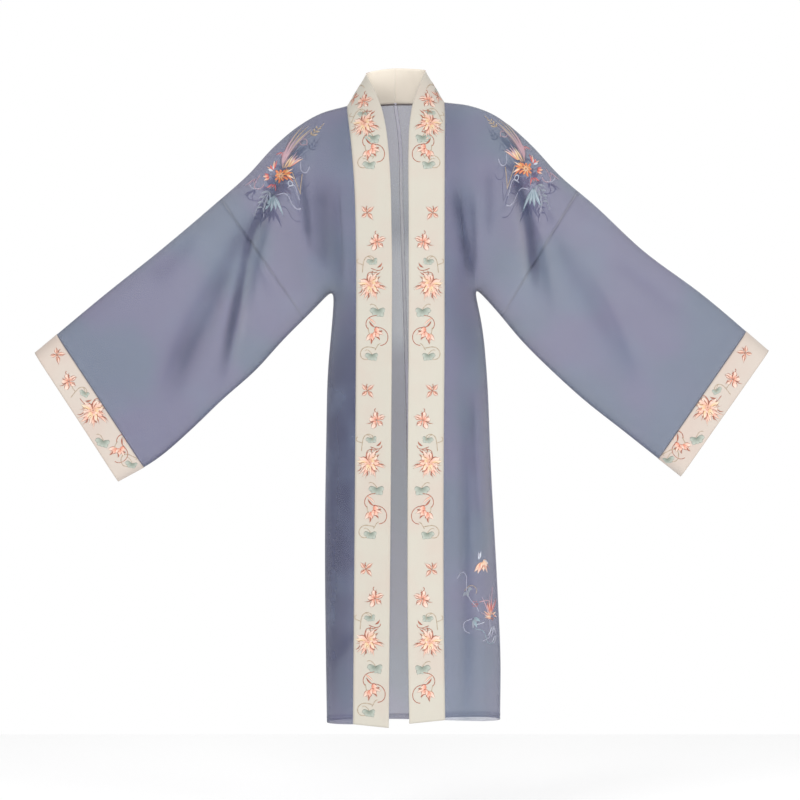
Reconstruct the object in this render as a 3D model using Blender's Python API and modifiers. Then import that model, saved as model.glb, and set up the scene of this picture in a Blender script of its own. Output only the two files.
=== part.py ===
"""Hanfu robe: a long open beizi of sheer cloth, filled out as if worn, with nobody inside it.

Metres, +Z up. The front faces -Y and the wearer's left is +X. The origin is the middle of the neck
opening, level with the side of the neck, where the wearer's shoulders carry the robe.

Each half of the robe is one strip seen from the front. Its top path runs in along the sleeve's ridge
to the side of the neck and then down the band's seam, or round the back of the neck and down the
centre back. Its under path runs in along the underarm to the armpit and down the side. Ribs cross the
strip, and each rib of the front sheet has one of the back sheet behind it, joined at the under path.
"""

import math

import bpy
import numpy as np

NAME = "hanfu_robe"

CLOTH_WALL = 0.0015
TRIM_WALL = 0.002
SEAM_GAP = 0.0003
BAND_WIDTH = 0.072
BAND_COLUMNS = 4
FRONT_COLUMNS = 12
BACK_COLUMNS = 12
END_CROWDING = 0.6
BAND_CLEARANCE = 0.0004
NECK_CLEARANCE = 0.0008
STEEPEST_INSET = 0.25
BACK_BOW = 2.5
NECK_DOME = 0.045
PATH_SAMPLES = 60
FOLD_SAMPLES = 40
UNDER_SAMPLES = 200
ARMPIT_ROUNDING = 60

SIGN = {"right": -1.0, "left": 1.0}

# Ridge of each sleeve in the front view, from the side of the neck out to the cuff's edge.
# Columns: out from the middle, up from the origin.
RIDGE = {
    "right": ((0.103, 0.004), (0.158, -0.012), (0.200, -0.036), (0.246, -0.074), (0.302, -0.134),
              (0.370, -0.194), (0.476, -0.284), (0.588, -0.374), (0.726, -0.490)),
    "left": ((0.090, 0.011), (0.142, 0.004), (0.186, -0.012), (0.224, -0.038), (0.264, -0.074),
             (0.320, -0.134), (0.390, -0.194), (0.486, -0.284), (0.606, -0.374), (0.737, -0.486)),
}

# Underarm edge of each sleeve, from the armpit out to the cuff's lower corner. Columns: out, up.
UNDERARM = {
    "right": ((0.128, -0.358), (0.172, -0.404), (0.232, -0.464), (0.286, -0.524), (0.354, -0.584),
              (0.416, -0.644), (0.486, -0.704), (0.560, -0.746)),
    "left": ((0.148, -0.354), (0.194, -0.404), (0.244, -0.464), (0.304, -0.524), (0.370, -0.584),
             (0.446, -0.644), (0.562, -0.736)),
}

# Side of the body, from the armpit down to the hem. Columns: out, up.
SIDE_SEAM = {
    "right": ((0.128, -0.358), (0.134, -0.434), (0.142, -0.524), (0.145, -0.644), (0.148, -0.884),
              (0.146, -1.100), (0.144, -1.228)),
    "left": ((0.148, -0.354), (0.166, -0.434), (0.175, -0.524), (0.183, -0.704), (0.198, -0.984),
             (0.203, -1.100), (0.202, -1.222)),
}

# Seam between front panel and band, from the side of the neck down to the hem. Columns: out, up.
BAND_SEAM = {
    "right": ((0.103, 0.004), (0.094, -0.068), (0.088, -0.144), (0.084, -0.284), (0.084, -0.444),
              (0.086, -0.744), (0.088, -0.984), (0.090, -1.225)),
    "left": ((0.090, 0.011), (0.089, -0.068), (0.089, -0.144), (0.089, -0.284), (0.089, -0.444),
             (0.087, -0.744), (0.087, -0.984), (0.090, -1.215)),
}

# Seam round the back of the neck, from its side to the nape, and the centre back down to the hem.
# Columns: x, up. The hem hangs a little to the wearer's left.
NECKLINE = {
    "right": ((-0.103, 0.004), (-0.060, 0.010), (-0.008, 0.014)),
    "left": ((0.090, 0.011), (0.045, 0.013), (-0.008, 0.014)),
}
CENTRE_BACK = ((-0.008, 0.014), (0.000, -0.040), (0.005, -0.180), (0.010, -0.340), (0.020, -0.700),
               (0.026, -1.232))

# Named ribs. Columns: top path of the front sheet (-1 cuff, 0 side of the neck, 1 hem), top path of
# the back sheet (0 side of the neck, 1 nape, 2 hem), under path (-1 cuff, 0 armpit, 1 hem), bow of
# the rib towards the middle so that it clears the armpit, ribs to the next named one.
RIBS = {
    "cuff_edge": (-1.000, -1.000, -1.000, 0.00, 3),
    "cuff_seam": (-0.929, -0.929, -0.900, 0.00, 12),
    "join": (-0.400, -0.400, -0.150, 0.00, 5),
    "shoulder": (-0.170, -0.170, -0.065, 0.02, 4),
    "armpit": (-0.060, -0.060, 0.000, 0.05, 3),
    "side_neck": (0.000, 0.000, 0.030, 0.10, 7),
    "nape": (0.200, 1.000, 0.095, 0.06, 3),
    "blade": (0.250, 1.090, 0.130, 0.04, 3),
    "chest": (0.310, 1.220, 0.175, 0.02, 4),
    "waist": (0.505, 1.505, 0.304, 0.00, 9),
    "hem": (1.000, 2.000, 1.000, 0.00, 0),
}

# Body of the cloth at the same named ribs. Columns: half depth of the front sheet, of the back sheet,
# depth of the roll under the ridge, of the roll at the under path, share of the depth lost towards
# the under path, how far forward the middle lies.
FORM = {
    "cuff_edge": (0.023, 0.027, 0.040, 0.024, 0.25, 0.022),
    "cuff_seam": (0.025, 0.029, 0.042, 0.026, 0.25, 0.018),
    "join": (0.044, 0.046, 0.070, 0.045, 0.28, 0.000),
    "shoulder": (0.075, 0.080, 0.110, 0.080, 0.08, 0.000),
    "armpit": (0.086, 0.090, 0.135, 0.080, 0.03, 0.000),
    "side_neck": (0.092, 0.096, 0.150, 0.085, 0.00, 0.000),
    "nape": (0.098, 0.100, 0.150, 0.082, 0.00, 0.000),
    "blade": (0.100, 0.104, 0.150, 0.082, 0.00, 0.000),
    "chest": (0.103, 0.106, 0.150, 0.080, 0.00, 0.000),
    "waist": (0.115, 0.106, 0.150, 0.125, 0.00, 0.000),
    "hem": (0.120, 0.118, 0.150, 0.145, 0.00, 0.000),
}

# Main folds. Columns: half, sheet, half width, height (below zero for a trough), path of out and up.
FOLDS = (
    ("right", "front", 0.020, -0.012, ((0.205, -0.075), (0.274, -0.214), (0.306, -0.344),
                                       (0.334, -0.504), (0.354, -0.554))),
    ("right", "front", 0.028, -0.009, ((0.318, -0.244), (0.368, -0.384), (0.448, -0.524),
                                       (0.498, -0.604))),
    ("right", "front", 0.028, 0.006, ((0.290, -0.250), (0.340, -0.400), (0.400, -0.560))),
    ("right", "front", 0.026, -0.010, ((0.172, -0.150), (0.164, -0.240), (0.160, -0.320))),
    ("right", "back", 0.024, -0.012, ((0.190, -0.100), (0.240, -0.240), (0.270, -0.400))),
    ("right", "back", 0.028, -0.009, ((0.300, -0.220), (0.400, -0.400), (0.480, -0.580))),
    ("right", "back", 0.024, -0.010, ((0.100, -0.160), (0.092, -0.260), (0.084, -0.380))),
    ("right", "back", 0.024, -0.010, ((0.060, -0.700), (0.066, -0.950), (0.070, -1.240))),
    ("left", "front", 0.020, -0.013, ((0.232, -0.130), (0.252, -0.220), (0.262, -0.280),
                                      (0.270, -0.360))),
    ("left", "front", 0.032, -0.008, ((0.400, -0.262), (0.490, -0.330), (0.590, -0.420))),
    ("left", "front", 0.026, -0.006, ((0.290, -0.300), (0.370, -0.440), (0.440, -0.560))),
    ("left", "front", 0.024, -0.009, ((0.112, -0.150), (0.122, -0.220), (0.130, -0.290))),
    ("left", "front", 0.020, -0.010, ((0.132, -0.440), (0.146, -0.640), (0.138, -0.880),
                                      (0.134, -1.240))),
    ("left", "back", 0.024, -0.012, ((0.200, -0.100), (0.250, -0.240), (0.280, -0.400))),
    ("left", "back", 0.028, -0.009, ((0.310, -0.220), (0.410, -0.400), (0.490, -0.580))),
    ("left", "back", 0.024, -0.010, ((0.100, -0.160), (0.092, -0.260), (0.084, -0.380))),
    ("left", "back", 0.024, -0.010, ((0.085, -0.640), (0.090, -0.900), (0.096, -1.240))),
)

# Way from the seam across the band to its free edge. Columns: place along the seam (-1 nape, 0 side
# of the neck, 1 hem), inward, forward, up.
BAND_LEAN = (
    (-1.00, 0.00, 0.30, 0.95),
    (-0.50, 0.20, 0.26, 0.94),
    (-0.20, 0.34, 0.14, 0.93),
    (0.00, 0.52, 0.02, 0.85),
    (0.02, 0.72, 0.04, 0.68),
    (0.04, 0.88, 0.10, 0.44),
    (0.07, 0.96, 0.14, 0.22),
    (0.12, 0.97, 0.18, 0.08),
    (0.20, 0.97, 0.24, 0.00),
    (0.90, 0.97, 0.24, 0.00),
    (1.00, 0.97, 0.24, -0.08),
)

# Columns: colour, roughness, metallic.
MATERIALS = {
    "sheer_blue_grey": ((0.170, 0.190, 0.290), 0.70, 0.0),
    "cream_band": ((0.790, 0.720, 0.620), 0.65, 0.0),
    "cream_cuff": ((0.780, 0.690, 0.600), 0.65, 0.0),
}


def table_curve(knots, values, at):
    """Smooth curve through the rows of a table that never overshoots between two of them."""
    knots = np.asarray(knots, float)
    values = np.asarray(values, float).reshape(len(knots), -1)
    step = np.diff(knots)[:, None]
    slope = np.diff(values, axis=0) / step
    same_way = slope[1:] * slope[:-1] > 0
    joined = np.where(same_way, 2 * slope[1:] * slope[:-1] / np.where(same_way, slope[1:] + slope[:-1], 1), 0)
    tangent = np.vstack([slope[:1], joined, slope[-1:]])
    at = np.clip(np.asarray(at, float), knots[0], knots[-1])
    i = np.clip(np.searchsorted(knots, at, side="right") - 1, 0, len(knots) - 2)
    t = ((at - knots[i]) / (knots[i + 1] - knots[i]))[:, None]
    h = step[i]
    return ((1 + 2 * t) * (1 - t) ** 2 * values[i] + t * (1 - t) ** 2 * h * tangent[i]
            + t * t * (3 - 2 * t) * values[i + 1] + t * t * (t - 1) * h * tangent[i + 1])


def path_points(rows, fractions):
    """Points of the smooth curve through the rows, at fractions of its length."""
    rows = np.asarray(rows, float)
    knots = np.concatenate([[0], np.cumsum(np.linalg.norm(np.diff(rows, axis=0), axis=1))])
    tangent = np.gradient(rows, knots, axis=0)
    at = np.linspace(0, knots[-1], PATH_SAMPLES * (len(rows) - 1) + 1)
    i = np.clip(np.searchsorted(knots, at, side="right") - 1, 0, len(rows) - 2)
    h = (knots[i + 1] - knots[i])[:, None]
    t = ((at - knots[i]) / h[:, 0])[:, None]
    fine = ((1 + 2 * t) * (1 - t) ** 2 * rows[i] + t * (1 - t) ** 2 * h * tangent[i]
            + t * t * (3 - 2 * t) * rows[i + 1] + t * t * (t - 1) * h * tangent[i + 1])
    length = np.concatenate([[0], np.cumsum(np.linalg.norm(np.diff(fine, axis=0), axis=1))])
    wanted = np.clip(fractions, 0, 1) * length[-1]
    return np.stack([np.interp(wanted, length, fine[:, k]) for k in range(2)], axis=1)


def rib_numbers(first, last):
    """Numbers of the ribs from one named rib to another."""
    names = list(RIBS)
    start = np.concatenate([[0], np.cumsum([row[-1] for row in RIBS.values()])])
    return np.arange(start[names.index(first)], start[names.index(last)] + 1)


def rib_values(table, numbers, columns):
    """Columns of a table of named ribs, read at rib numbers."""
    knots = np.concatenate([[0], np.cumsum([row[-1] for row in RIBS.values()][:-1])])
    return table_curve(knots, [row[:columns] for row in table.values()], numbers)


def two_part_path(outer, inner, place, sign):
    """Points in the front view on a path whose places below zero lie on `outer`, others on `inner`."""
    out = path_points(outer, np.clip(-place, 0, 1)) * (sign, 1)
    body = path_points(inner, np.clip(place, 0, 1)) * (sign, 1)
    return np.where((place < 0)[:, None], out, body)


def back_path(side, place):
    """Points in the front view on the top path of the back sheet."""
    neck = two_part_path(RIDGE[side], NECKLINE[side], place, 1.0)
    neck = np.where((place < 0)[:, None], neck * (SIGN[side], 1), neck)
    down = path_points(CENTRE_BACK, np.clip(place - 1, 0, 1))
    return np.where((place > 1)[:, None], down, neck)


def ridge_height(side, x):
    """Height of the shoulder's ridge at x, carried on as a low dome over the neck opening."""
    ridge = path_points(RIDGE[side], np.linspace(0, 1, PATH_SAMPLES * 4))
    out = x * SIGN[side]
    middle = CENTRE_BACK[0][0] * SIGN[side]
    from_middle = (out - middle) / (ridge[0, 0] - middle)
    over_neck = NECK_DOME + (ridge[0, 1] - NECK_DOME) * from_middle ** 2
    return np.where(out < ridge[0, 0], over_neck, np.interp(out, ridge[:, 0], ridge[:, 1]))


def under_line(side):
    """Places and points of the under path in the front view, with its corner at the armpit rounded."""
    place = np.linspace(-1, 1, 2 * UNDER_SAMPLES + 1)
    line = two_part_path(UNDERARM[side], SIDE_SEAM[side], place, SIGN[side])
    for _ in range(ARMPIT_ROUNDING):
        line[1:-1] = (line[:-2] + 2 * line[1:-1] + line[2:]) / 4
    return place, line


def distance_from(line, x, z):
    """Distance of points of the front view from a line of many short steps."""
    start, way = line[:-1], np.diff(line, axis=0)
    gap_x = x[..., None] - start[:, 0]
    gap_z = z[..., None] - start[:, 1]
    share = np.clip((gap_x * way[:, 0] + gap_z * way[:, 1]) / (way ** 2).sum(1), 0, 1)
    return np.hypot(gap_x - share * way[:, 0], gap_z - share * way[:, 1]).min(-1)


def quarter_round(t):
    """Quarter circle that leaves its edge square and lies flat from t = 1 on."""
    return np.sqrt(np.maximum(0, 1 - (1 - np.clip(t, 0, 1)) ** 2))


def fold_height(side, face, x, z):
    """Height of all the main folds of one sheet at points of the front view."""
    total = np.zeros(x.shape)
    for fold_side, fold_face, width, height, path in FOLDS:
        if (fold_side, fold_face) != (side, face):
            continue
        line = path_points(path, np.linspace(0, 1, FOLD_SAMPLES)) * (SIGN[side], 1)
        far = np.hypot(x[..., None] - line[:, 0], z[..., None] - line[:, 1])
        place = far.argmin(-1) / (FOLD_SAMPLES - 1)
        fade = np.minimum(1, np.minimum(place / 0.25, (1 - place) / 0.25) + 0.15)
        total += height * fade * np.exp(-(far.min(-1) / width) ** 2)
    return total


def sheet(side, face, numbers, across):
    """Points of the front or back sheet of one half: a row for each rib, a column for each place."""
    sign = SIGN[side]
    top_place, back_place, under_place, bow = rib_values(RIBS, numbers, 4).T
    front, back, top_roll, under_roll, loss, forward = rib_values(FORM, numbers, 6).T[:, :, None]
    if face == "front":
        top = two_part_path(RIDGE[side], BAND_SEAM[side], top_place, sign)
        depth = front
        bend = across * (1 - across) * (2 * across - 1)
    else:
        top = back_path(side, back_place)
        depth = back
        bend = BACK_BOW * across ** 2 * (1 - across)
    line_place, line = under_line(side)
    under = np.stack([np.interp(under_place, line_place, line[:, k]) for k in range(2)], axis=1)
    view = top[:, None] * (1 - across)[:, None] + under[:, None] * across[:, None]
    x = view[..., 0] - sign * bow[:, None] * bend
    z = view[..., 1]
    below_ridge = np.maximum(0, ridge_height(side, x) - z)
    from_under = distance_from(line, x, z)
    on_edge = ((top_place <= 0)[:, None] & (across == 0)) | (across == 1)
    swell = quarter_round(below_ridge / top_roll) * quarter_round(from_under / under_roll)
    swell = np.where(on_edge, 0, swell * (1 - loss * across))
    outward = depth * swell + fold_height(side, face, x, z) * swell
    y = outward * (-1 if face == "front" else 1) - forward
    return np.stack([x, y, z], axis=2)


def places_across(count):
    """Places from 0 to 1 that lie closer together near both ends."""
    even = np.linspace(0, 1, count + 1)
    return even + END_CROWDING * ((1 - np.cos(even * math.pi)) / 2 - even)


def half_grid(side, first, last):
    """Points of a half between two named ribs, front sheet then back sheet round the under path."""
    numbers = rib_numbers(first, last)
    front = sheet(side, "front", numbers, places_across(FRONT_COLUMNS))
    back = sheet(side, "back", numbers, places_across(BACK_COLUMNS))
    closed = numbers <= rib_numbers("cuff_edge", "side_neck")[-1]
    return np.concatenate([front, back[:, -2::-1]], axis=1), closed


def inset(points, axis, end, distance):
    """Moves one edge row or column of a grid inwards by a distance measured square to the edge."""
    edge = np.moveaxis(points, axis, 0)
    near, next_one = (0, 1) if end == "first" else (-1, -2)
    way = edge[next_one] - edge[near]
    way /= np.linalg.norm(way, axis=-1, keepdims=True)
    along = np.gradient(edge[near], axis=0)
    along /= np.linalg.norm(along, axis=-1, keepdims=True)
    square = np.sqrt(1 - (way * along).sum(-1, keepdims=True) ** 2)
    edge[near] += way / np.maximum(square, STEEPEST_INSET) * np.reshape(distance, (-1, 1))


def add_cloth(name, points, closed, wall, material):
    """Makes the grid of points a wall of even thickness, closed on itself where a row is a ring."""
    rows, columns = points.shape[:2]
    numbers = np.arange(rows * columns).reshape(rows, columns)
    numbers[closed, -1] = numbers[closed, 0]
    used, packed = np.unique(numbers, return_inverse=True)
    corners = packed.reshape(rows, columns)
    faces = np.stack([corners[:-1, :-1], corners[:-1, 1:], corners[1:, 1:], corners[1:, :-1]], axis=2)
    mesh = bpy.data.meshes.new(name)
    mesh.from_pydata(points.reshape(-1, 3)[used].tolist(), [], faces.reshape(-1, 4).tolist())
    mesh.validate()
    mesh.shade_smooth()
    mesh.materials.append(material)
    cloth = bpy.data.objects.new(name, mesh)
    solidify = cloth.modifiers.new("wall", "SOLIDIFY")
    solidify.thickness = wall
    solidify.offset = 0.0
    bpy.data.collections[NAME].objects.link(cloth)
    return cloth


def add_material(name, finish):
    """Makes one cloth's material from its colour, roughness and metallic value."""
    colour, roughness, metallic = MATERIALS[finish]
    material = bpy.data.materials.new(name)
    material.use_nodes = True
    shader = material.node_tree.nodes["Principled BSDF"]
    shader.inputs["Base Color"].default_value = (*colour, 1)
    shader.inputs["Roughness"].default_value = roughness
    shader.inputs["Metallic"].default_value = metallic
    material.diffuse_color = (*colour, 1)
    return material


def add_body(side):
    """Front, back and upper sleeve of one half, cut in one length that folds over the shoulder."""
    points, closed = half_grid(side, "join", "hem")
    inset(points, 0, "first", SEAM_GAP / 2)
    neck = rib_numbers("join", "side_neck")[-1] - rib_numbers("join", "side_neck")[0]
    inset(points[neck + 1:], 1, "first", SEAM_GAP / 2)
    inset(points[neck + 1:], 1, "last", SEAM_GAP / 2)
    name = side + "_body"
    add_cloth(name, points, closed, CLOTH_WALL, add_material(name, "sheer_blue_grey"))


def add_sleeve(side):
    """The lower sleeve, a tube sewn to the body at one end and to the cuff at the other."""
    points, closed = half_grid(side, "cuff_seam", "join")
    inset(points, 0, "first", SEAM_GAP / 2)
    inset(points, 0, "last", SEAM_GAP / 2)
    name = side + "_sleeve"
    add_cloth(name, points, closed, CLOTH_WALL, add_material(name, "sheer_blue_grey"))


def add_cuff(side):
    """The cream band round the sleeve's mouth."""
    points, closed = half_grid(side, "cuff_edge", "cuff_seam")
    inset(points, 0, "last", SEAM_GAP / 2)
    name = side + "_cuff"
    add_cloth(name, points, closed, TRIM_WALL, add_material(name, "cream_cuff"))


def band_grid(side):
    """Points of one half's band, from the nape over the shoulder and down the front to the hem."""
    seam_end = np.array([0.0])
    neck = rib_numbers("side_neck", "nape")
    front = rib_numbers("side_neck", "hem")
    back_seam = sheet(side, "back", neck, seam_end)[::-1, 0]
    front_seam = sheet(side, "front", front, seam_end)[1:, 0]
    seam = np.concatenate([back_seam, front_seam])
    back_place = -rib_values(RIBS, neck, 2)[::-1, 1]
    front_place = rib_values(RIBS, front, 1)[1:, 0]
    along = np.concatenate([back_place, front_place])
    lean = table_curve([row[0] for row in BAND_LEAN], [row[1:] for row in BAND_LEAN], along)
    lean *= (-SIGN[side], -1, 1)
    lean /= np.linalg.norm(lean, axis=1, keepdims=True)
    across = np.linspace(0, BAND_WIDTH, BAND_COLUMNS + 1)
    points = seam[:, None] + lean[:, None] * across[:, None]
    return points, along


def add_band(side):
    """One half of the collar band, which stands up round the neck and meets the other at the nape."""
    points, along = band_grid(side)
    near_neck = np.exp(-(np.minimum(np.abs(along), 1) / 0.12) ** 2) + 0.5 * (along < 0)
    inset(points, 1, "first", SEAM_GAP / 2 + BAND_CLEARANCE + NECK_CLEARANCE * near_neck)
    inset(points, 0, "first", SEAM_GAP / 2)
    open_rows = np.zeros(len(points), bool)
    name = side + "_band"
    add_cloth(name, points, open_rows, TRIM_WALL, add_material(name, "cream_band"))


def main():
    """Clears the scene and makes every piece of the robe."""
    for old in list(bpy.data.objects):
        bpy.data.objects.remove(old, do_unlink=True)
    robe = bpy.data.collections.new(NAME)
    bpy.context.scene.collection.children.link(robe)
    for side in SIGN:
        add_body(side)
        add_sleeve(side)
        add_cuff(side)
        add_band(side)


main()
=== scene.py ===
"""Hanfu robe: a long open beizi of sheer blue-grey cloth, filled out as if worn, with nobody inside it.

The cloth repeats the surface of the frame's solids from the same tables, with a finer mesh, a thinner
wall and the smaller creases. Seam turnings, hems, stitches and embroidery lie on that surface.
Metres, +Z up. The front faces -Y and the wearer's left is +X.
"""
from __future__ import annotations

import logging
import math
from dataclasses import dataclass, field
from enum import Enum
from typing import Any

import bpy
import numpy as np
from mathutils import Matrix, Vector

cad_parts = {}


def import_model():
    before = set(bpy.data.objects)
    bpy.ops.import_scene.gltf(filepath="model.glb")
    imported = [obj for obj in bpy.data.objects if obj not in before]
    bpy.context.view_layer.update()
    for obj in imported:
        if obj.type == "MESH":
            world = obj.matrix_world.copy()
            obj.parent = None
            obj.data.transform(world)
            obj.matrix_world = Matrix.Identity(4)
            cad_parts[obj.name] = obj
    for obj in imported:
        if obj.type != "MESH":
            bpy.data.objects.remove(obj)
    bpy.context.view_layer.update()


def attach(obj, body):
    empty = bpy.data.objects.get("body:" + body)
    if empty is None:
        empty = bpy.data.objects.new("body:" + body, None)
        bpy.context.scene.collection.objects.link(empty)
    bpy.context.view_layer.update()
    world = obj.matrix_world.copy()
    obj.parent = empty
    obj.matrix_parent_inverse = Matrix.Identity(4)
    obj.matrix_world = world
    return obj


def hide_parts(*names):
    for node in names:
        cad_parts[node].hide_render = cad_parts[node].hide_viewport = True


Array = np.ndarray
Path = tuple[tuple[float, float], ...]
Colour = tuple[float, float, float]
Piece = bpy.types.Object
Material = bpy.types.Material

LOG = logging.getLogger("hanfu_robe")

# Samples of a stretch of a path, of each half of the under path, of a fold, and between two ribs.
PATH_SAMPLES = 60
UNDER_SAMPLES = 200
FOLD_SAMPLES = 60
RIB_SAMPLES = 30

# Rounds of smoothing at the armpit, bow of the back's ribs, height of the dome over the neck and gap
# at a seam, both in metres, and the least sine that an inset divides by.
ARMPIT_ROUNDING = 60
BACK_BOW = 2.5
NECK_DOME = 0.045
SEAM_GAP = 0.0003
STEEPEST_INSET = 0.25

# Share of a fold's path over which it fades, what is left of it at its end, how many of its widths
# its lean reaches, and how much of the lean its gathering has.
FOLD_FADE = 0.25
FOLD_END = 0.15
LEAN_REACH = 1.5
SHADE_LEAN = 0.7

# Gathering along the under path and along the ridge, and how wide each is in metres.
UNDER_GATHERED = 0.6
UNDER_REACH = 0.005
RIDGE_GATHERED = 0.35
RIDGE_REACH = 0.004

# Flat area of a sheet as a share of its surface as hung, and a turning's wall as one of the cloth's.
FLAT_SHARE = 0.97
TURNING_WALL = 0.7

# How far a stroke of a tendril runs on into its neighbours, as a share of half its length.
TENDRIL_OVERLAP = 0.16


class Side(Enum):
    """Side of the wearer. The value is the sign of x there."""

    RIGHT = -1
    LEFT = 1

    @property
    def word(self) -> str:
        """Name of the side as the frame's nodes have it."""
        return self.name.lower()


class Face(Enum):
    """Front or back sheet of a half. The value is the sign of y there."""

    FRONT = -1
    BACK = 1


@dataclass(frozen=True)
class HalfPattern:
    """Paths of one half in the front view: out from the middle, up from the origin."""

    ridge: Path
    underarm: Path
    side_seam: Path
    band_seam: Path
    neckline: Path


@dataclass(frozen=True)
class Fold:
    """Soft ridge (height above zero) or trough of one sheet, along a path of out and up.

    `lean` above zero makes the flank on the path's left the steeper one. How dense a fold is darkens
    the cloth where it bunches and paints shade into a crease; below zero it lightens the cloth, which
    beside a crease is a painted highlight on its ridge. `flare` is the share by which the fold widens to
    its end.
    """

    width: float
    height: float
    path: Path
    lean: float = 0.0
    # Darkens a crease as painted shade, or below zero lightens a ridge as painted highlight.
    density: float = 0.0
    flare: float = 0.0


PATTERNS = {
    Side.RIGHT: HalfPattern(
        ridge=((0.103, 0.004), (0.158, -0.012), (0.200, -0.036), (0.246, -0.074), (0.302, -0.134),
               (0.370, -0.194), (0.476, -0.284), (0.588, -0.374), (0.726, -0.490)),
        underarm=((0.128, -0.358), (0.172, -0.404), (0.232, -0.464), (0.286, -0.524),
                  (0.354, -0.584), (0.416, -0.644), (0.486, -0.704), (0.560, -0.746)),
        side_seam=((0.128, -0.358), (0.134, -0.434), (0.142, -0.524), (0.145, -0.644),
                   (0.148, -0.884), (0.146, -1.100), (0.144, -1.228)),
        band_seam=((0.103, 0.004), (0.094, -0.068), (0.088, -0.144), (0.084, -0.284),
                   (0.084, -0.444), (0.086, -0.744), (0.088, -0.984), (0.090, -1.225)),
        neckline=((-0.103, 0.004), (-0.060, 0.010), (-0.008, 0.014)),
    ),
    Side.LEFT: HalfPattern(
        ridge=((0.090, 0.011), (0.142, 0.004), (0.186, -0.012), (0.224, -0.038), (0.264, -0.074),
               (0.320, -0.134), (0.390, -0.194), (0.486, -0.284), (0.606, -0.374),
               (0.737, -0.486)),
        underarm=((0.148, -0.354), (0.194, -0.404), (0.244, -0.464), (0.304, -0.524),
                  (0.370, -0.584), (0.446, -0.644), (0.562, -0.736)),
        side_seam=((0.148, -0.354), (0.166, -0.434), (0.175, -0.524), (0.183, -0.704),
                   (0.198, -0.984), (0.203, -1.100), (0.202, -1.222)),
        band_seam=((0.090, 0.011), (0.089, -0.068), (0.089, -0.144), (0.089, -0.284),
                   (0.089, -0.444), (0.087, -0.744), (0.087, -0.984), (0.090, -1.215)),
        neckline=((0.090, 0.011), (0.045, 0.013), (-0.008, 0.014)),
    ),
}

CENTRE_BACK: Path = ((-0.008, 0.014), (0.000, -0.040), (0.005, -0.180), (0.010, -0.340),
                     (0.020, -0.700), (0.026, -1.232))

# Named ribs. Columns: top path of the front sheet, of the back sheet, under path, bow, ribs to next.
RIBS = {
    "cuff_edge": (-1.000, -1.000, -1.000, 0.00, 3),
    "cuff_seam": (-0.929, -0.929, -0.900, 0.00, 12),
    "join": (-0.400, -0.400, -0.150, 0.00, 5),
    "shoulder": (-0.170, -0.170, -0.065, 0.02, 4),
    "armpit": (-0.060, -0.060, 0.000, 0.05, 3),
    "side_neck": (0.000, 0.000, 0.030, 0.10, 7),
    "nape": (0.200, 1.000, 0.095, 0.06, 3),
    "blade": (0.250, 1.090, 0.130, 0.04, 3),
    "chest": (0.310, 1.220, 0.175, 0.02, 4),
    "waist": (0.505, 1.505, 0.304, 0.00, 9),
    "hem": (1.000, 2.000, 1.000, 0.00, 0),
}

# Columns: depth of the front sheet, of the back sheet, roll under the ridge, roll at the under path,
# share of the depth lost towards the under path, how far forward the middle lies.
FORM = {
    "cuff_edge": (0.023, 0.027, 0.040, 0.024, 0.25, 0.022),
    "cuff_seam": (0.025, 0.029, 0.042, 0.026, 0.25, 0.018),
    "join": (0.044, 0.046, 0.070, 0.045, 0.28, 0.000),
    "shoulder": (0.075, 0.080, 0.110, 0.080, 0.08, 0.000),
    "armpit": (0.086, 0.090, 0.135, 0.080, 0.03, 0.000),
    "side_neck": (0.092, 0.096, 0.150, 0.085, 0.00, 0.000),
    "nape": (0.098, 0.100, 0.150, 0.082, 0.00, 0.000),
    "blade": (0.100, 0.104, 0.150, 0.082, 0.00, 0.000),
    "chest": (0.103, 0.106, 0.150, 0.080, 0.00, 0.000),
    "waist": (0.115, 0.106, 0.150, 0.125, 0.00, 0.000),
    "hem": (0.120, 0.118, 0.150, 0.145, 0.00, 0.000),
}

# How densely the cloth hangs at the named ribs, over that of a smooth sheet, with painted shade and light:
# darker and lighter stretches of the fronts and backs stand in for how light falls on them.
# Columns: front of the right half, front of the left half, both backs.
FULLNESS_AND_SHADE = {
    "cuff_edge": (0.16, -0.06, 0.05), "cuff_seam": (0.16, -0.06, 0.05), "join": (-0.06, -0.14, -0.06),
    "shoulder": (0.05, 0.00, 0.05), "armpit": (0.22, 0.15, 0.20), "side_neck": (0.30, 0.30, 0.30),
    "nape": (0.30, 0.30, 0.32), "blade": (0.35, 0.35, 0.38), "chest": (0.50, 0.36, 0.42),
    "waist": (1.05, -0.10, 0.38), "hem": (0.30, -0.42, 0.15),
}

# Columns: place along the band's seam (-1 nape, 0 side of the neck, 1 hem), inward, forward, up.
BAND_LEAN = (
    (-1.00, 0.00, 0.30, 0.95),
    (-0.50, 0.20, 0.26, 0.94),
    (-0.20, 0.34, 0.14, 0.93),
    (0.00, 0.52, 0.02, 0.85),
    (0.02, 0.72, 0.04, 0.68),
    (0.04, 0.88, 0.10, 0.44),
    (0.07, 0.96, 0.14, 0.22),
    (0.12, 0.97, 0.18, 0.08),
    (0.20, 0.97, 0.24, 0.00),
    (0.90, 0.97, 0.24, 0.00),
    (1.00, 0.97, 0.24, -0.08),
)
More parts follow.
